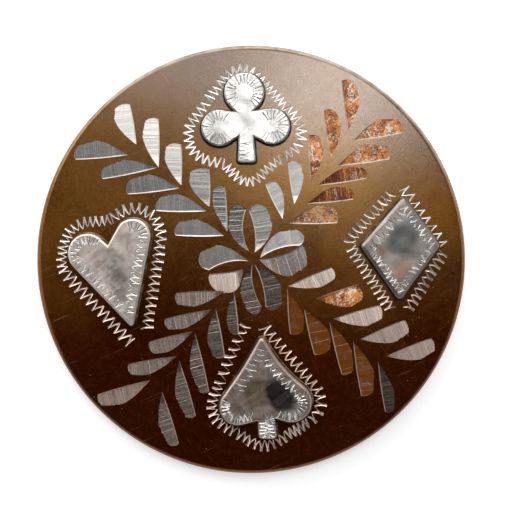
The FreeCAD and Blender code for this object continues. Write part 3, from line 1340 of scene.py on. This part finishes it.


# The leaves: each spray is a pair of rows that leave the same stem, one along it, one across
# Each leaf's tone is partly its finish and partly painted reflection and shade.
LEAVES = (
    # towards the heart and the club
    leaf_row(-1, 0.70, [(-12.6, 10.9, 180, 22.4, 7.9, 1.4), (-20.8, 22.3, 180, 23.0, 8.2, 1.2),
                        (-33.1, 33.0, 187, 24.4, 8.6, 0.8), (-43.8, 42.5, 192, 25.6, 7.2, 0.85),
                        (-57.4, 48.5, 185, 24.4, 8.4, 0.8)]),
    leaf_row(1, 0.80, [(-11.0, 13.0, 93, 20.8, 6.4, 0.2), (-19.3, 24.2, 90, 17.6, 9.8, 0.35),
                       (-32.4, 34.3, 90, 19.2, 8.0, 0.65), (-42.9, 42.6, 90, 22.7, 8.0, 0.85),
                       (-53.3, 53.3, 99, 19.3, 8.6, 0.8, 0.16)]),
    # towards the club and the diamond
    leaf_row(-1, 0.76, [(14.6, 18.7, 117, 17.8, 5.8, 2.3), (20.0, 25.6, 99, 19.4, 6.4, 1.6, 0.12),
                        (27.8, 36.0, 94, 21.2, 7.0, 1.0, 0.62), (37.0, 47.0, 99, 22.2, 7.4, 1.6, 0.55),
                        (45.2, 60.2, 98, 23.0, 7.8, 1.4, 0.60)]),
    leaf_row(1, 0.76, [(17.6, 16.7, 0, 22.2, 8.6, 1.0, 0.46), (26.2, 25.8, 5, 21.2, 7.0, 0.4, 0.60),
                       (31.0, 34.3, 8, 22.8, 6.8, 0.42, 0.58), (40.4, 43.5, 7, 24.0, 8.8, 1.3, 0.52),
                       (47.7, 55.2, 9, 23.0, 8.4, 1.2, 0.56)]),
    # towards the heart and the spade
    leaf_row(1, 0.82, [(-12.0, -14.6, 182, 22.8, 7.2, 0.15), (-18.0, -23.2, 191, 22.4, 6.6, 0.2),
                       (-27.0, -33.5, 193, 21.0, 7.0, 0.3), (-34.6, -45.0, 189, 22.8, 6.8, 0.4),
                       (-47.0, -56.2, 195, 25.4, 8.2, 1.0)]),
    leaf_row(-1, 0.76, [(-8.0, -15.0, 277, 19.4, 5.0, 0.1), (-16.4, -22.6, 281, 22.8, 7.0, 0.2),
                        (-26.0, -34.4, 284, 27.6, 6.8, 0.3), (-33.4, -47.0, 287, 26.8, 7.0, 0.4),
                        (-41.4, -61.6, 288, 25.4, 6.8, 0.65)]),
    # towards the diamond and the spade
    leaf_row(-1, 0.82, [(17.1, -12.5, 24, 22.0, 6.9, 0.5, 0.2), (30.2, -18.2, 19, 20.8, 9.2, 0.8, 0.56),
                        (38.2, -27.6, 17, 22.2, 8.2, 0.6), (50.7, -37.1, 24, 22.4, 8.4, 0.5),
                        (62.8, -45.0, 22, 22.6, 8.0, 0.55)]),
    leaf_row(1, 0.82, [(16.8, -13.8, 273, 20.8, 7.4, 0.7, 0, 1), (24.6, -23.0, 282, 21.6, 10.0, 0.9, 0, 1),
                       (36.3, -29.2, 283, 25.0, 8.0, 0.8, 0, 1), (47.4, -38.0, 278, 25.6, 8.4, 0.8, 0, 1),
                       (59.0, -47.4, 278, 24.0, 6.0, 0.1, 0, 0.15)]),
)


@dataclass(frozen=True)
class Border:
    """The zigzag border round one suit.

    Attributes:
        corners: The corners of its band's middle line.
        middle: The point that the bearings of its runs are taken from.
        runs: Its runs of zigzag.
    """

    corners: tuple[Corner, ...]
    middle: tuple[float, float]
    runs: tuple[Wriggle, ...]

    def strokes(self, draw: random.Random) -> Iterator[tuple[Groove, Groove]]:
        """The strokes of every run."""
        track = Track(self.corners, Vector((*self.middle, 0)))
        for run in self.runs:
            yield from run.strokes(track, draw)


BORDERS = (
    # heart
    Border((Corner(-23.7, 1.4, 4.05), Corner(-24.6, -0.2, 3.4), Corner(-17.0, -10.8, 1.6),
            Corner(-17.3, 3.4, 4.05), Corner(-21.2, 6.75, -1.0)), (-20.9, -1.4),
           (Wriggle(302, 28, -0.8, 0.8, 1.12, 0.44, 0.17, 0.5, 0.42, 0.2),
            Wriggle(28, 88, -0.75, 0.8, 0.98, 0.38, 0.18, 0.6, 0.5, 0.1),
            Wriggle(89, 186, -0.7, 0.75, 0.86, 0.36, 0.15, 0.55, 0.5, 0.1),
            Wriggle(187, 288, -0.82, 0.82, 1.22, 0.30, 0.26, 0.85, 0.34, 0.08))),
    # club
    Border((Corner(-1.5, 25.0, 3.1), Corner(-5.6, 18.2, 3.7), Corner(-4.3, 13.0, -1.1),
            Corner(-0.5, 13.5, 2.1), Corner(4.0, 13.3, -1.1), Corner(3.9, 18.6, 3.5)), (-0.8, 20.6),
           (Wriggle(66, 128, -0.7, 0.7, 0.95, 0.31, 0.25, 0.9, 0.5, 0.0, 1.3),
            Wriggle(130, 152, -0.75, 0.7, 0.85, 0.31, 0.27, 0.9, 0.5, 0.0, 1.3),
            Wriggle(156, 240, -0.7, 0.7, 0.98, 0.31, 0.25, 0.85, 0.5, 0.0, 1.3),
            Wriggle(243, 312, -0.65, 0.7, 0.85, 0.31, 0.22, 0.8, 0.5, 0.0, 1.3),
            Wriggle(314, 18, -0.75, 0.75, 0.92, 0.29, 0.23, 0.8, 0.4, 0.0, 1.3),
            Wriggle(19, 64, -0.6, 0.65, 0.75, 0.24, 0.23, 0.9, 0.5, 0.0, 1.3))),
    # diamond
    Border((Corner(21.9, 9.9, 0.8), Corner(16.2, 2.4, 1.7), Corner(21.9, -7.6, 1.0),
            Corner(27.0, 1.5, 1.5)), (21.9, 1.7),
           (Wriggle(278, 357, -0.8, 0.8, 1.02, 0.41, 0.17, 0.55, 0.35, 0.24, 0.85),
            Wriggle(1, 90, -0.7, 0.8, 1.42, 0.26, 0.18, 0.8, 0.38, 0.12),
            Wriggle(98, 176, -0.8, 0.75, 0.92, 0.44, 0.15, 0.5, 0.45, 0.24, 0.9),
            Wriggle(178, 262, -0.8, 0.8, 0.94, 0.38, 0.18, 0.65, 0.4, 0.24, 0.85))),
    # spade
    Border((Corner(0.4, -11.0, 1.8), Corner(-2.6, -21.6, 3.2), Corner(2.0, -24.2, 3.3),
            Corner(7.0, -21.0, 3.3)), (2.1, -19.0),
           (Wriggle(105, 168, -0.75, 0.8, 1.30, 0.48, 0.14, 0.4, 0.45, 0.2, 0.9),
            Wriggle(170, 236, -0.75, 0.8, 1.0, 0.41, 0.14, 0.5, 0.5, 0.14, 0.9),
            Wriggle(238, 294, -0.7, 0.8, 0.88, 0.38, 0.15, 0.65, 0.5, 0.14, 0.95),
            Wriggle(295, 322, -0.75, 0.85, 0.72, 0.32, 0.28, 0.9, 0.4),
            Wriggle(324, 92, -0.78, 0.8, 1.14, 0.41, 0.18, 0.55, 0.42, 0.2, 0.9))),
)


@dataclass(frozen=True)
class SteelDisc:
    """The crowned disc with its flower, its leaves and its borders cut into the top.

    Attributes:
        crown: Its crowned top.
        edge_radius: The radius of its rolled edge.
        foot_chamfer: The broken edge of its underside.
        wall_depth: How deep a leaf is cut at its wall.
        belly_depth: How deep it is where the cut runs out.
        segments: How many flats stand for its round.
        roll_steps: How many for its rolled edge.
        cap_steps: How many for its crown, from the rim to the middle.
        petals: The cuts of the flower.
        leaves: The cuts of the sprays, row by row.
        borders: The borders round the suits.
        seed: What the unevenness of its handwork is drawn from.
    """

    crown: Crown
    edge_radius: float = 0.9
    foot_chamfer: float = 0.35
    wall_depth: float = 0.30
    belly_depth: float = 0.03
    segments: int = 256
    roll_steps: int = 8
    cap_steps: int = 34
    petals: tuple[Cut, ...] = PETALS
    leaves: tuple[tuple[Cut, ...], ...] = LEAVES
    borders: tuple[Border, ...] = BORDERS
    seed: int = 7

    @property
    def unit(self) -> float:
        """The layout's unit, a hundredth of the disc's radius."""
        return self.crown.disc_radius / 100

    def turned(self) -> bmesh.types.BMesh:
        """The disc as turned, with a rolled edge.

        Returns:
            The closed disc, smooth on its top and on the upper part of its rim.
        """
        crown, radius = self.crown, self.crown.disc_radius
        roll = Vector((radius - self.edge_radius, 0, 0))
        roll.z = crown.centre.z + math.sqrt((crown.radius - self.edge_radius) ** 2 - roll.x ** 2)
        outwards = (roll - crown.centre).normalized()
        bm = bmesh.new()
        points = [(0, 0, 0), (radius * 0.5, 0, 0), (radius - self.foot_chamfer, 0, 0),
                  (radius, 0, self.foot_chamfer), (radius, 0, roll.z)]
        chain = [bm.verts.new(point) for point in points]
        for pair in zip(chain, chain[1:]):
            bm.edges.new(pair)
        bmesh.ops.spin(bm, geom=[chain[-1]], cent=roll, axis=(0, -1, 0),
                       angle=math.atan2(outwards.z, outwards.x), steps=self.roll_steps)
        bm.verts.ensure_lookup_table()
        bmesh.ops.spin(bm, geom=[bm.verts[-1]], cent=crown.centre, axis=(0, -1, 0),
                       angle=math.atan2(outwards.x, outwards.z), steps=self.cap_steps)
        spin_solid(bm, self.segments)
        for face in bm.faces:
            face.smooth = face.calc_center_median().z > 1.2 * self.foot_chamfer
        Look.paint(bm, 1.0)
        return bm

    def leaf_cutters(self, draw: random.Random) -> list[bmesh.types.BMesh]:
        """Cutters for the petals and leaves.

        Args:
            draw: Where the unevenness of handwork comes from.

        Returns:
            Six cutters, two for the petals and two for each side of the stems, since a cut may
            meet the next one in its row but not the one after.
        """
        cutters = [bmesh.new() for _ in range(6)]
        jobs = [(index % 2, cut) for index, cut in enumerate(self.petals)]
        for row, leaves in enumerate(self.leaves):
            jobs += [(2 + row % 2 * 2 + index % 2, cut) for index, cut in enumerate(leaves)]
        for number, cut in jobs:
            chip = LeafChip(cut, self.unit, draw).build(self.wall_depth, self.belly_depth)
            chip.transform(self.crown.seat(cut.x * self.unit, cut.y * self.unit, cut.bearing))
            mesh = to_mesh(chip, "chip")
            cutters[number].from_mesh(mesh)
            bpy.data.meshes.remove(mesh)
        return cutters

    def border_cutters(self, draw: random.Random) -> list[bmesh.types.BMesh]:
        """Cutters for the strokes of every border."""
        graver = Gouger(self.crown.height)
        for border in self.borders:
            graver.walk(border.strokes(draw))
        return graver.cutters()

    def build(self) -> bpy.types.Object:
        """Makes the disc.

        Returns:
            The piece.
        """
        draw = random.Random(self.seed)
        blank = Blank("steel_disc", self.turned(), {Metal.SKIN: BrownedSteel().material(),
                                                    Metal.CUT: CutSteel().material()})
        for cutter in self.leaf_cutters(draw) + self.border_cutters(draw):
            blank.cut(cutter)
        return blank.finish("browned_steel", self._facing)

    def _facing(self, point: Vector, normal: Vector) -> Vector:
        """Straight out from the crown's ball, on the crown.

        Args:
            point: A point of the finished disc, in metres.
            normal: The way that its face looks.

        Returns:
            The way that the metal faces, or no length off the crown.
        """
        on_crown = 0.999
        out = (point / MM - self.crown.centre).normalized()
        return out if normal.dot(out) > on_crown else Vector()


# ---------------------------------------------------------------------------------------
# The suits
# ---------------------------------------------------------------------------------------

class SuitKind(Enum):
    """The four suits, by the names of their CAD nodes."""

    HEART = "heart"
    CLUB = "club"
    DIAMOND = "diamond"
    SPADE = "spade"


# The three lobes of the club, in hundredths of its length
CLUB_TOP = Corner(-1.9, 29.3, 22.2)
CLUB_LEFT = Corner(-29.3, -10.2, 20.1)
CLUB_RIGHT = Corner(28.9, -8.3, 19.9)


def suit_corners(kind: SuitKind, tip: float) -> list[Corner]:
    """The corners of a suit's outline, in hundredths of its length.

    Args:
        kind: The suit.
        tip: The radius of its points.

    Returns:
        The corners in order, anticlockwise.
    """
    if kind is SuitKind.HEART:
        return [Corner(-19.8, 14.7, 18.6), Corner(21.3, -50.3, tip), Corner(22.9, 30.6, 16.6),
                Corner(-0.6, 22.3)]
    if kind is SuitKind.CLUB:
        return [CLUB_TOP, Corner(-11.7, 7.5), CLUB_LEFT, Corner(-8.3, -20.3), Corner(-6.4, -46.0, tip),
                Corner(8.3, -46.0, tip), Corner(9.0, -20.3), CLUB_RIGHT, Corner(8.3, 8.6)]
    if kind is SuitKind.DIAMOND:
        return [Corner(3.0, 45.6, tip), Corner(-35.2, 1.7, tip), Corner(-1.0, -46.6, tip),
                Corner(35.2, 2.3, tip)]
    point = Corner(-3.7, 47.3, tip)
    left_lobe, right_lobe = Corner(-27.7, -18.2, 18.4), Corner(25.7, -13.2, 20.6)
    return [point, hollow_side(point, left_lobe, 330), left_lobe, Corner(-7.8, -32.2),
            Corner(-3.4, -46.3, tip), Corner(7.5, -46.3, tip), Corner(9.5, -30.0), right_lobe,
            hollow_side(right_lobe, point, 140)]


@dataclass(frozen=True)
class Suit:
    """One suit of silver sheet, bevelled, engraved along its edges and soldered down.

    Attributes:
        kind: Which suit it is.
        length: Its length from top to bottom.
        bevel: The width of the slope round its edge.
        place: Its middle in the layout's hundredths.
        silver: Its finish.
        runs: Zigzag runs, each with the track that it follows; no corners stand for the outline.
        corner_ease: How much rounder its points are than its bevel needs.
        sheet: The thickness of the silver.
        film: The thickness of the solder.
        hammered: How far the hammer left its top from flat.
        hammer_step: The distance between the lines that divide the top.
        reveal: How far the solder shows round its foot.
        seam_rise: How far the solder climbs up its side.
        steepness: The depth of a stroke as a share of its width.
        shaded: How bright the side of a stroke painted as shaded is beside the lit side.
    """

    kind: SuitKind
    length: float
    bevel: float
    place: tuple[float, float]
    silver: Silver
    runs: tuple[tuple[tuple[Corner, ...], Wriggle], ...]
    corner_ease: float = 0.1
    sheet: float = 1.0
    film: float = 0.08
    hammered: float = 0.06
    hammer_step: float = 0.8
    reveal: float = 0.24
    seam_rise: float = 0.2
    steepness: float = 0.4
    shaded: float = 0.1

    @property
    def unit(self) -> float:
        """A hundredth of the suit's length."""
        return self.length / 100

    @property
    def top(self) -> float:
        """The height of the sheet above the crown."""
        return self.film + self.sheet

    def corners(self) -> list[Corner]:
        """The outline's corners in millimetres."""
        tip = (self.bevel + self.corner_ease) / self.unit
        return [corner.scaled(self.unit) for corner in suit_corners(self.kind, tip)]

    def plate(self, reveal: float, top: float, bevel: float) -> bmesh.types.BMesh:
        """A plate with its top edge bevelled, lying flat with the suit's middle at the origin.

        Args:
            reveal: How far it reaches outside the suit's outline.
            top: The height of its top above the crown.
            bevel: The width of its bevel.

        Returns:
            The closed plate, which reaches down into the crown.
        """
        under, outline_step, bevel_steps, crease = 1.0, 0.16, 3, math.radians(32)
        bm = bmesh.new()
        belt = lay_belt(bm, self.corners(), outline_step)
        let_out(belt, reveal)
        face = bm.faces.new(belt)
        bmesh.ops.translate(bm, vec=-UP * under, verts=bm.verts)
        tops = raise_solid(bm, [face], top + under)
        bmesh.ops.bevel(bm, geom=tops[0].edges[:], offset=bevel, offset_type="OFFSET", affect="EDGES",
                        segments=bevel_steps, profile=0.5, material=-1, clamp_overlap=False)
        for face in bm.faces:
            face.smooth = True
        for edge in bm.edges:
            edge.smooth = edge.calc_face_angle(0.0) < crease
        return bm

    @staticmethod
    def _unevenness(point: Vector) -> float:
        """How far the hammer left the sheet from flat at a point, as a share of the most."""
        return noise.noise(Vector((point.x, point.y, 0)) * 0.45) - 0.3

    def _hammer(self, bm: bmesh.types.BMesh) -> None:
        """Divides the top of the plate and leaves it a little uneven."""
        reach, offset, level = 10, 0.37, self.top - WELD
        for axis in (Vector((1, 0, 0)), Vector((0, 1, 0))):
            for step in range(-reach, reach + 1):
                faces = [f for f in bm.faces if all(v.co.z > level for v in f.verts)]
                geometry = faces + list({item for f in faces for item in (*f.verts, *f.edges)})
                bmesh.ops.bisect_plane(bm, geom=geometry, dist=WELD, plane_no=axis,
                                       plane_co=axis * (step + offset) * self.hammer_step)
        for vertex in bm.verts:
            if vertex.co.z > level and all(f.normal.z > 0.99 for f in vertex.link_faces):
                vertex.co.z += self.hammered * self._unevenness(vertex.co)

    def _engraving(self, plate: bmesh.types.BMesh) -> list[bmesh.types.BMesh]:
        """Cutters for the zigzags in the silver.

        Args:
            plate: The plate, whose uneven top the strokes follow.

        Returns:
            The cutters.
        """
        scan = BVHTree.FromBMesh(plate)

        def skin(x: float, y: float) -> float:
            """The height of the hammered sheet at a point, or of its top beside it."""
            hit = scan.ray_cast(Vector((x, y, self.top + 1)), -UP)[0]
            return hit.z if hit else self.top

        draw = random.Random(self.kind.value)
        graver = Gouger(skin, self.steepness, self.shaded)
        for corners, run in self.runs:
            track_corners = [corner.scaled(self.unit) for corner in corners] or self.corners()
            middle = track_corners[0].centre if len(corners) == 1 else Vector()
            graver.walk(run.strokes(Track(track_corners, middle), draw))
        return graver.cutters()

    def build(self, disc: SteelDisc) -> list[bpy.types.Object]:
        """Makes the suit and its solder.

        Args:
            disc: The disc that it lies on.

        Returns:
            The two pieces.
        """
        x, y = (value * disc.unit for value in self.place)
        seat = disc.crown.seat(x, y)
        return [self._sheet_piece(disc.crown, seat), self._solder_piece(disc.crown, seat)]

    def _ball(self, crown: Crown, seat: Matrix, clearance: float) -> bmesh.types.BMesh:
        """The crown's ball under the suit, which stands off it by a clearance."""
        return crown.ball(clearance, self.length, seat.translation)

    def _sheet_piece(self, crown: Crown, seat: Matrix) -> bpy.types.Object:
        """The suit itself, engraved and hollowed to lie on its solder.

        Args:
            crown: The crown that it lies on.
            seat: Its placement there.

        Returns:
            The piece.
        """
        plate = self.plate(0.0, self.top, self.bevel)
        self._hammer(plate)
        Look.paint(plate, 1.0)
        engraving = self._engraving(plate)
        blank = Blank(f"silver_{self.kind.value}", plate, {Metal.SKIN: self.silver.material(),
                                                           Metal.CUT: CutSilver().material()})
        for cutter in engraving:
            blank.cut(cutter)
        blank.object.data.transform(seat)
        blank.cut(self._ball(crown, seat, self.film))
        level, back_down = seat.to_3x3(), seat.inverted()
        on_top, step = 0.995, 0.05

        def facing(point: Vector, normal: Vector) -> Vector:
            """Up from the hammered sheet, on the suit's top."""
            if normal.dot(level.col[2]) < on_top:
                return Vector()
            here = back_down @ (point / MM)
            rise = [self._unevenness(here + way * step) - self._unevenness(here - way * step)
                    for way in (Vector((1, 0, 0)), Vector((0, 1, 0)))]
            lean = Vector((-rise[0], -rise[1], 0)) * self.hammered / (2 * step)
            return (level @ (lean + UP)).normalized()

        return blank.finish("silver", facing)

    def _solder_piece(self, crown: Crown, seat: Matrix) -> bpy.types.Object:
        """The film of solder under the suit and the seam that shows round its foot.

        Args:
            crown: The crown that it lies on.
            seat: The suit's placement there.

        Returns:
            The piece.
        """
        pool = self.plate(self.reveal, self.film + self.seam_rise, self.seam_rise)
        Look.paint(pool, 1.0)
        seam = Blank(f"{self.kind.value}_solder", pool, {Metal.SKIN: SolderMetal().material()})
        seam.object.data.transform(seat)
        seam.cut(self._ball(crown, seat, 0.0))
        core = self.plate(0.0, self.top, self.bevel)
        core.transform(seat)
        body = Blank(f"{self.kind.value}_core", core, {})
        body.cut(self._ball(crown, seat, self.film))
        seam.cut(body.taken())
        return seam.finish("solder")


OUTLINE: tuple[Corner, ...] = ()

# All four suits are one silver: their body colours differ suit by suit as painted light and shade,
# brighter or darker to match how lit each suit looks, and their patches are painted reflections,
# highlights and shade.
SUITS = (
    Suit(SuitKind.HEART, 15.7, 0.32, (-65.8, -4.5),
         Silver("heart_silver", (0.84, 0.745, 0.665), (0.66, 0.52, 0.43),
                (Patch(-19.2, -2.4, 1.8, 3.0, 2.1, 112, (0.25, 0.235, 0.20), 0.85),), 0.42),
         ((OUTLINE, Wriggle(300, 72, -1.75, -0.4, 0.86, 0.28, 0.16, 0.8, 0.5, 0.2, 2.6)),
          (OUTLINE, Wriggle(102, 280, -1.60, -0.35, 0.80, 0.26, 0.15, 0.8, 0.45, 0.15, 2.4)))),
    Suit(SuitKind.CLUB, 13.3, 0.25, (-2.4, 64.9),
         Silver("club_silver", (0.57, 0.56, 0.54), (0.43, 0.42, 0.40),
                (Patch(-5.6, 17.9, 1.6, 2.0, 1.8, 160, (0.20, 0.20, 0.19), 0.75),)),
         (((CLUB_TOP,), Wriggle(300, 240, -1.7, -0.25, 0.74, 0.22, 0.13, 0.8, 0.5, 0.14, 3.4)),
          ((CLUB_LEFT,), Wriggle(50, 318, -1.7, -0.25, 0.7, 0.22, 0.13, 0.8, 0.5, 0.14, 3.4)),
          ((CLUB_RIGHT,), Wriggle(222, 130, -1.7, -0.25, 0.7, 0.22, 0.13, 0.8, 0.5, 0.14, 3.4)),
          ((Corner(0.2, -48, 5.5), Corner(0.2, -26, 5.5)),
           Wriggle(95, 265, -1.2, 0.35, 0.62, 0.2, 0.16, 0.9, 0.5, 0.1, 3.0)))),
    Suit(SuitKind.DIAMOND, 14.9, 0.45, (69.0, 5.3),
         Silver("diamond_silver", (0.38, 0.345, 0.32), (0.34, 0.24, 0.205),
                (Patch(22.3, 3.0, 2.5, 1.6, 1.3, 70, (0.15, 0.155, 0.145), 0.9),
                 Patch(21.9, -1.7, 1.3, 0.9, 1.9, 50, (0.55, 0.34, 0.24), 0.95),
                 Patch(19.2, 1.2, 0.9, 1.0, 2.2, 125, (0.36, 0.20, 0.17), 0.85),
                 Patch(19.5, 5.3, 0.5, 0.4, 8.0, 49, (0.97, 0.96, 0.94), 0.95)), 0.36),
         ((OUTLINE, Wriggle(276, 352, -1.5, -0.5, 0.74, 0.25, 0.17, 0.9, 0.5, 0.12, 1.1)),
          (OUTLINE, Wriggle(8, 80, -1.6, -0.5, 0.8, 0.25, 0.17, 0.9, 0.5, 0.1, 1.1)),
          (OUTLINE, Wriggle(98, 174, -2.1, -0.55, 0.98, 0.26, 0.15, 0.9, 0.5, 0.12, 1.1)),
          (OUTLINE, Wriggle(184, 264, -1.5, -0.5, 0.7, 0.25, 0.17, 0.9, 0.5, 0.1, 1.1)))),
    Suit(SuitKind.SPADE, 14.8, 0.45, (6.7, -59.8),
         Silver("spade_silver", (0.54, 0.42, 0.36), (0.40, 0.28, 0.24),
                (Patch(0.6, -19.6, 2.3, 1.2, 1.3, 70, (0.30, 0.235, 0.155), 0.95),
                 Patch(4.3, -20.0, 2.4, 1.0, 1.45, 128, (0.05, 0.037, 0.04), 0.97),
                 Patch(2.4, -18.2, 0.4, 0.8, 6.0, 84, (0.11, 0.055, 0.04), 0.9),
                 Patch(2.4, -25.2, 1.5, 1.6, 1.0, 0, (0.95, 0.92, 0.87), 0.85),
                 Patch(6.2, -22.6, 0.9, 1.4, 1.8, 15, (0.90, 0.87, 0.82), 0.8)), 0.42),
         ((OUTLINE, Wriggle(322, 78, -2.0, -0.85, 0.8, 0.29, 0.2, 0.9, 0.45, 0.15, 1.1)),
          (OUTLINE, Wriggle(102, 178, -1.9, -0.5, 0.8, 0.22, 0.14, 0.8, 0.5, 0.1, 0.8)),
          (OUTLINE, Wriggle(190, 252, -1.5, -0.35, 0.62, 0.24, 0.17, 0.9, 0.5, 0.1, 1.1)),
          (OUTLINE, Wriggle(286, 320, -1.5, -0.35, 0.6, 0.25, 0.18, 0.95, 0.5, 0.1, 1.2)),
          ((Corner(2, -44, 5), Corner(2, -32, 5)),
           Wriggle(95, 267.5, -1.1, 0.35, 0.5, 0.26, 0.2, 1.0, 0.5, 0.1, 1.4)))),
)


# ---------------------------------------------------------------------------------------
# The studio
# ---------------------------------------------------------------------------------------

class Panel(NamedTuple):
    """A soft light over the table.

    Attributes:
        name: Its name.
        bearing: Where it stands, in degrees anticlockwise from X.
        tilt: How far down it stands, in degrees from straight up.
        distance: How far off it is, in metres.
        width: Its size along the ring round the table, in metres.
        height: Its size from low to high, in metres.
        radiance: How bright it is.
    """

    name: str
    bearing: float
    tilt: float
    distance: float
    width: float
    height: float
    radiance: float


@dataclass(frozen=True)
class Studio:
    """A white table under soft lights, and the camera straight above it.

    Attributes:
        camera_x: Where the camera stands.
        camera_y: Where the camera stands.
        view_width: How much it sees, at the height of the rim.
        rim: That height.
        lens: Its focal length.
        sensor: The width of its sensor.
        world: How bright the room is.
        glow: How bright the table is to the eye, beyond what the lights give it.
        table_radius: How far the table is flat, in metres.
        cove_radius: The radius of the curve that it ends in, in metres.
        panels: The lights.
    """

    camera_x: float = 0.72
    camera_y: float = 0.49
    view_width: float = 75.99
    rim: float = 1.8
    lens: float = 120.0
    sensor: float = 36.0
    world: float = 0.006
    glow: float = 0.55
    table_radius: float = 1.6
    cove_radius: float = 0.5
    panels: tuple[Panel, ...] = (
        Panel("key", 62, 27, 1.2, 0.27, 0.78, 6.0),
        Panel("soft", 107, 32, 1.2, 0.46, 0.72, 2.2),
        Panel("left", 176, 58, 1.2, 1.0, 0.45, 1.8),
        Panel("right", 5, 64, 1.2, 1.0, 0.42, 1.4),
        Panel("brow", 140, 70, 1.2, 0.7, 0.7, 3.2),
        Panel("front", 270, 72, 1.2, 1.2, 0.28, 1.3),
        Panel("back", 90, 66, 1.2, 1.3, 0.42, 4.6),
    )

    def surround(self) -> bpy.types.Material:
        """White for the eye and for reflections, while shadows still fall on it.

        Returns:
            The material.
        """
        g = Graph("surround")
        g.dress(Base_Color=(0.8, 0.8, 0.8), Roughness=0.9, Specular_IOR_Level=0.0)
        rays = g.node("LightPath").outputs
        seen = rays["Is Camera Ray"]
        for name in ("Is Glossy Ray", "Is Transmission Ray"):
            seen = g.larger(seen, rays[name])
        glow = g.node("Emission", {"Strength": g.multiply(seen, self.glow)}).outputs[0]
        both = g.node("AddShader", {0: g.shader.outputs[0], 1: glow}).outputs[0]
        g.put(g.tree.nodes["Material Output"].inputs["Surface"], both)
        return g.material

    def table(self) -> None:
        """The table top and the cove that it runs up into, in one sheet."""
        edge, segments, cove_steps, weld = self.table_radius, 64, 10, 1e-5
        bm = bmesh.new()
        chain = [bm.verts.new(point) for point in ((0, 0, 0), (edge / 4, 0, 0), (edge, 0, 0))]
        for pair in zip(chain, chain[1:]):
            bm.edges.new(pair)
        bmesh.ops.spin(bm, geom=[chain[-1]], cent=(edge, 0, self.cove_radius), axis=(0, -1, 0),
                       angle=math.radians(90), steps=cove_steps)
        bmesh.ops.spin(bm, geom=bm.verts[:] + bm.edges[:], cent=(0, 0, 0), axis=UP, angle=TURN,
                       steps=segments, use_merge=True)
        bmesh.ops.remove_doubles(bm, verts=bm.verts, dist=weld)
        bmesh.ops.recalc_face_normals(bm, faces=bm.faces)
        for face in bm.faces:
            face.smooth = True
        mesh = to_mesh(bm, "table")
        mesh.materials.append(self.surround())
        table = bpy.data.objects.new("table", mesh)
        bpy.context.scene.collection.objects.link(table)

    def lights(self) -> None:
        """The soft lights and the dim room."""
        for panel in self.panels:
            lamp = bpy.data.lights.new(panel.name, "AREA")
            lamp.shape, lamp.size, lamp.size_y = "RECTANGLE", panel.width, panel.height
            lamp.energy = panel.radiance * math.pi * panel.width * panel.height
            holder = bpy.data.objects.new(panel.name, lamp)
            bearing, tilt = math.radians(panel.bearing), math.radians(panel.tilt)
            arm = Vector((math.cos(bearing) * math.sin(tilt), math.sin(bearing) * math.sin(tilt),
                          math.cos(tilt)))
            turn = Matrix.Rotation(bearing + math.pi / 2, 4, "Z") @ Matrix.Rotation(tilt, 4, "X")
            holder.matrix_world = Matrix.Translation(arm * panel.distance) @ turn
            holder.visible_camera = False
            bpy.context.scene.collection.objects.link(holder)
        world = bpy.data.worlds.new("room")
        world.use_nodes = True
        background = world.node_tree.nodes["Background"].inputs
        background["Color"].default_value = (1, 1, 1, 1)
        background["Strength"].default_value = self.world
        bpy.context.scene.world = world

    def camera(self) -> None:
        """The camera, straight above the table."""
        lens = bpy.data.cameras.new("camera")
        lens.lens, lens.sensor_width = self.lens, self.sensor
        distance = self.view_width * self.lens / self.sensor
        lens.clip_start, lens.clip_end = 0.01, 20
        holder = bpy.data.objects.new("camera", lens)
        holder.location = (self.camera_x * MM, self.camera_y * MM, (self.rim + distance) * MM)
        bpy.context.scene.collection.objects.link(holder)
        bpy.context.scene.camera = holder

    def build(self) -> None:
        """Sets the whole scene."""
        self.table()
        self.lights()
        self.camera()
        bpy.context.scene.view_settings.view_transform = "Standard"


def main() -> None:
    """Builds the button and the studio, and logs each piece's faces and the size of its node."""
    logging.basicConfig(level=logging.INFO, format="%(name)s: %(message)s")
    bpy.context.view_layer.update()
    low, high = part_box("steel_disc")
    crown = Crown(disc_radius=(high.x - low.x) / 2 / MM, rim_height=2.6, rise=1.7)
    disc = SteelDisc(crown)
    pieces = [disc.build()]
    for suit in SUITS:
        pieces += suit.build(disc)
    for piece in pieces:
        low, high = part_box(piece.name.partition(".")[0])
        log.info("%s: %d faces, node %.1f by %.1f mm", piece.name, len(piece.data.polygons),
                 (high.x - low.x) / MM, (high.y - low.y) / MM)
    Studio().build()


if __name__ == "__main__":
    main()
